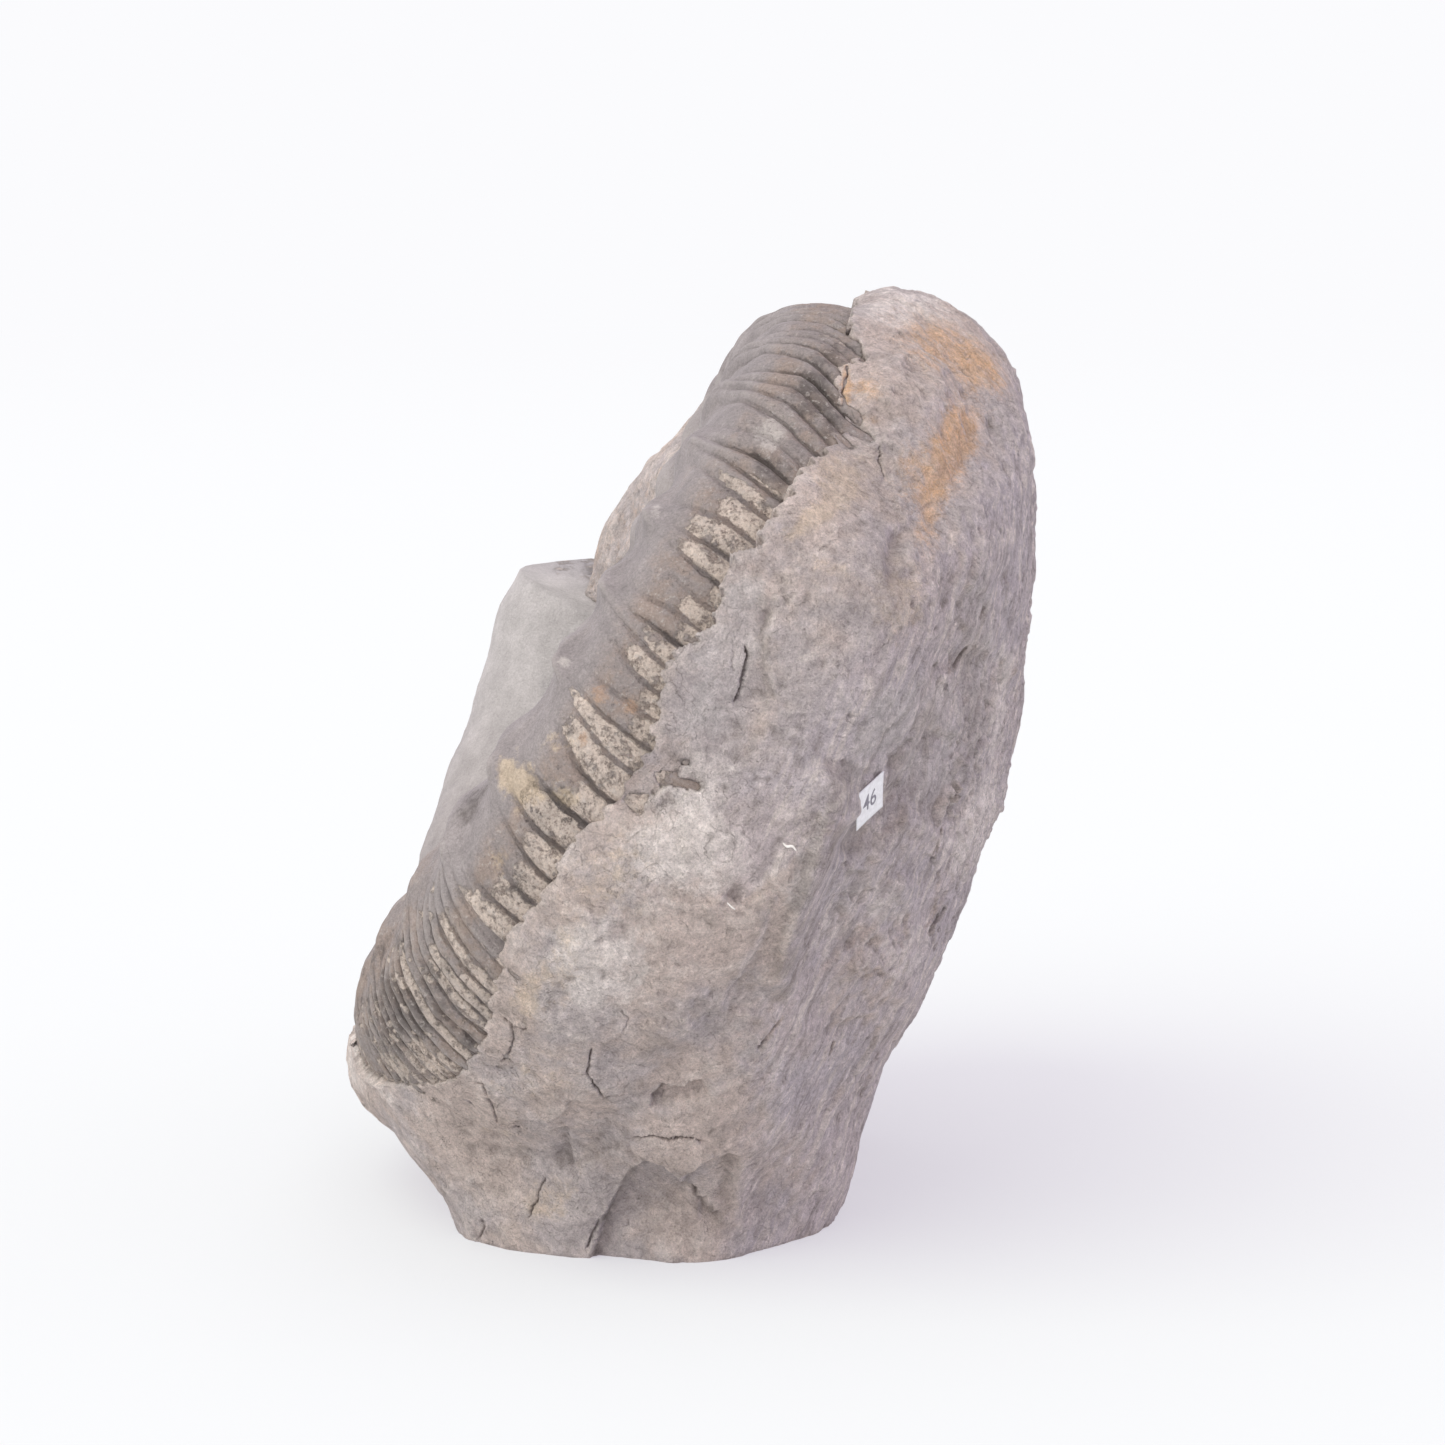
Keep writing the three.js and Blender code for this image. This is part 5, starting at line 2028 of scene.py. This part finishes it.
@dataclass
class PaperNumber:
    """The small glued slip with a printed number. Lengths are in millimetres."""

    name: str = "paper_slip"
    node: str = "paper_number"
    place: Place = (30.9, -62.5, 78.9)
    facing: Place = (0.8, -0.46, -0.22)
    long_way: Place = (0.54, 0.76, 0.36)
    size: Place = (8.0, 6.8, 0.4)
    number: str = "46"
    letter_height: float = 3.0
    sheet: float = 0.14
    curl: float = 0.05
    bow: float = 0.03
    ink_lift: float = 0.2
    ink_thick: float = 0.012
    seat_room: float = 0.15
    seat_depth: float = 0.1
    seat_reach: float = 8.0
    finish: PlainFinish = PlainFinish("paper_finish", (0.80, 0.80, 0.81), (0.70, 0.70, 0.70))
    ink: PlainFinish = PlainFinish("ink_finish", (0.17, 0.16, 0.19), (0.24, 0.23, 0.26), rough=0.6)

    def axes(self) -> Array:
        """The slip's long, short and outward directions, one a row."""
        out = unit(np.array(self.facing))
        short = unit(np.cross(out, np.array(self.long_way)))
        return np.stack([np.cross(short, out), short, out])

    def put(self, piece: Piece, flat: Array) -> None:
        """Moves a mesh from the slip's own frame to its place."""
        move_points(piece, flat @ self.axes() + np.array(self.place))

    def seat(self) -> Piece:
        """The block that is cut from the stone to seat the slip."""
        bpy.ops.mesh.primitive_cube_add(size=2 * MM)
        block = added("seat_cut")
        long, short, thick = (length / 2 + self.seat_room for length in self.size)
        flat = points_of(block) * np.array([long, short, thick])
        flat[:, 2] += np.where(flat[:, 2] > 0, self.seat_reach, self.seat_depth)
        self.put(block, flat)
        return block

    def build(self) -> Piece:
        """Makes and hands over the slip with its number."""
        bpy.ops.mesh.primitive_grid_add(x_subdivisions=24, y_subdivisions=16, size=2 * MM)
        slip = added(self.name)
        flat = points_of(slip)
        curl = self.curl * flat[:, 0] ** 4 + self.bow * flat[:, 1] ** 2
        long, short, thick = self.size
        worn = 0.06 * Grain(90).single(flat * 9, 2.0)
        flat = flat * np.array([long / 2 - 0.1, short / 2 - 0.1, 0])
        flat[:, :2] *= (1 + worn * (np.abs(flat[:, :2]).max(axis=1) > 2.5) * 0.3)[:, None]
        flat[:, 2] = curl - thick / 2 + 0.05
        move_points(slip, flat)
        wall = slip.modifiers.new("wall", "SOLIDIFY")
        wall.thickness = self.sheet * MM
        wall.offset = 1.0
        bpy.ops.object.modifier_apply(modifier=wall.name)
        dress(slip, self.finish)
        bpy.ops.object.text_add()
        text = bpy.context.object
        text.data.body = self.number
        text.data.align_x = text.data.align_y = "CENTER"
        text.data.size = self.letter_height * 1.35 * MM
        text.data.extrude = self.ink_thick * MM
        text.data.offset = 0.02 * MM
        only(text)
        bpy.ops.object.convert(target="MESH")
        ink = bpy.context.object
        letters = points_of(ink)
        letters[:, 2] += self.curl * (letters[:, 0] / (long / 2)) ** 4 + self.ink_lift - thick / 2
        move_points(ink, letters)
        dress(ink, self.ink)
        only(slip)
        ink.select_set(True)
        bpy.ops.object.join()
        self.put(slip, points_of(slip))
        hand_over(slip, Slot.PAPER, self.node)
        return slip


# ---- Loose crumbs ----


@dataclass
class Crumb:
    """A white fibre or flake on the stone, along a path in the camera's picture."""

    name: str
    path: tuple[Pixel, ...]
    thick: float = 0.22
    clearance: float = 0.6
    thin_end: float = 0.55
    finish: PlainFinish = PlainFinish("white_crumb", (0.86, 0.83, 0.78), (0.74, 0.70, 0.64), 0.5, 0.7)

    def on_stone(self, stone: Piece, at: Pixel) -> Vector:
        """The place on the stone that shows at that pixel."""
        hit, place, normal, _ = stone.ray_cast(Vector(VIEW.place * MM), Vector(VIEW.ray(at)))
        return place + normal * self.thick * self.clearance * MM if hit else Vector(VIEW.target) * MM

    def build(self, stone: Piece) -> Piece:
        """Makes and hands over the crumb."""
        curve = bpy.data.curves.new(self.name, "CURVE")
        curve.dimensions = "3D"
        curve.resolution_u = 8
        curve.bevel_depth = self.thick * MM
        curve.bevel_resolution = 3
        curve.use_fill_caps = True
        spline = curve.splines.new("BEZIER")
        spline.bezier_points.add(len(self.path) - 1)
        for k, (point, at) in enumerate(zip(spline.bezier_points, self.path)):
            point.co = self.on_stone(stone, at)
            point.handle_left_type = point.handle_right_type = "AUTO"
            point.radius = 1.0 if 0 < k < len(self.path) - 1 else self.thin_end
        crumb = bpy.data.objects.new(self.name, curve)
        bpy.context.scene.collection.objects.link(crumb)
        only(crumb)
        bpy.ops.object.convert(target="MESH")
        crumb = bpy.context.object
        dress(crumb, self.finish)
        hand_over(crumb, Slot.SHELL)
        return crumb


# ---- The studio ----


@dataclass(frozen=True)
class Studio:
    """A plain white floor under soft light, with the key light from the upper left and front.

    The floor glows a little, as one does that is lit from all round, and fades into the backdrop far
    away, so that no horizon shows.
    """

    floor_size: float = 40.0
    floor: Colour = (0.368, 0.403, 0.354)
    glow: Colour = (0.455, 0.425, 0.49)
    far: Span = (0.5, 3.5)
    sky: Colour = (1.06, 0.99, 1.11)
    backdrop: Colour = (0.965, 0.965, 0.985)
    key: float = 1.7
    key_colour: Colour = (1.0, 1.09, 0.93)
    key_direction: Place = (-0.62, -0.50, 0.78)
    key_angle: float = 60.0

    def add_floor(self) -> None:
        """Adds the floor with its finish."""
        bpy.ops.mesh.primitive_plane_add(size=self.floor_size)
        floor = added("floor")
        bench = Bench("floor_finish")
        length = bench.node("ShaderNodeVectorMath", {0: bench.object_place}, operation="LENGTH")
        share = bench.between(length.outputs["Value"], *self.far)
        shader = bench.shader
        bench.tree.links.new(bench.mix(share, self.floor, (0.0, 0.0, 0.0)), shader.inputs["Base Color"])
        bench.tree.links.new(bench.mix(share, self.glow, self.backdrop), shader.inputs["Emission Color"])
        shader.inputs["Emission Strength"].default_value = 1.0
        shader.inputs["Roughness"].default_value = 0.9
        shader.inputs["Specular IOR Level"].default_value = 0.0
        floor.data.materials.append(bench.material)

    def add_key(self) -> None:
        """Adds the key light."""
        bpy.ops.object.light_add(type="SUN")
        sun = bpy.context.object
        sun.name = "key_light"
        sun.data.energy = self.key
        sun.data.angle = math.radians(self.key_angle)
        sun.data.color = self.key_colour
        sun.rotation_mode = "QUATERNION"
        sun.rotation_quaternion = Vector(self.key_direction).to_track_quat("Z", "Y")

    def add_sky(self) -> None:
        """Adds the soft light from all round, and the backdrop that the camera sees."""
        world = bpy.data.worlds.new("sky")
        bpy.context.scene.world = world
        world.use_nodes = True
        tree = world.node_tree
        light = tree.nodes["Background"]
        light.inputs["Color"].default_value = (*self.sky, 1)
        light.inputs["Strength"].default_value = 1.0
        seen = tree.nodes.new("ShaderNodeBackground")
        seen.inputs["Color"].default_value = (*self.backdrop, 1)
        ray = tree.nodes.new("ShaderNodeLightPath")
        mixer = tree.nodes.new("ShaderNodeMixShader")
        tree.links.new(ray.outputs["Is Camera Ray"], mixer.inputs[0])
        tree.links.new(light.outputs[0], mixer.inputs[1])
        tree.links.new(seen.outputs[0], mixer.inputs[2])
        tree.links.new(mixer.outputs[0], tree.nodes["World Output"].inputs["Surface"])

    def build(self) -> None:
        """Adds the floor, the light and the sky."""
        self.add_floor()
        self.add_key()
        self.add_sky()
        bpy.context.scene.view_settings.view_transform = "Standard"


def save_sizes() -> None:
    """Writes the solids' box and the finished model's box."""
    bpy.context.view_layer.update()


def main() -> None:
    """Builds the pieces in order."""
    VIEW.add_camera()
    Studio().build()
    shell = Ammonite().build()
    slip = PaperNumber()
    stone = Siltstone().build(shell, slip.seat())
    slip.build()
    for crumb in (
        Crumb("white_curl", ((783, 843), (787, 846), (792, 846), (796, 850))),
        Crumb("white_fleck", ((727, 903), (732, 907), (735, 909)), 0.16),
    ):
        crumb.build(stone)
    save_sizes()


if __name__ == "__main__":
    main()
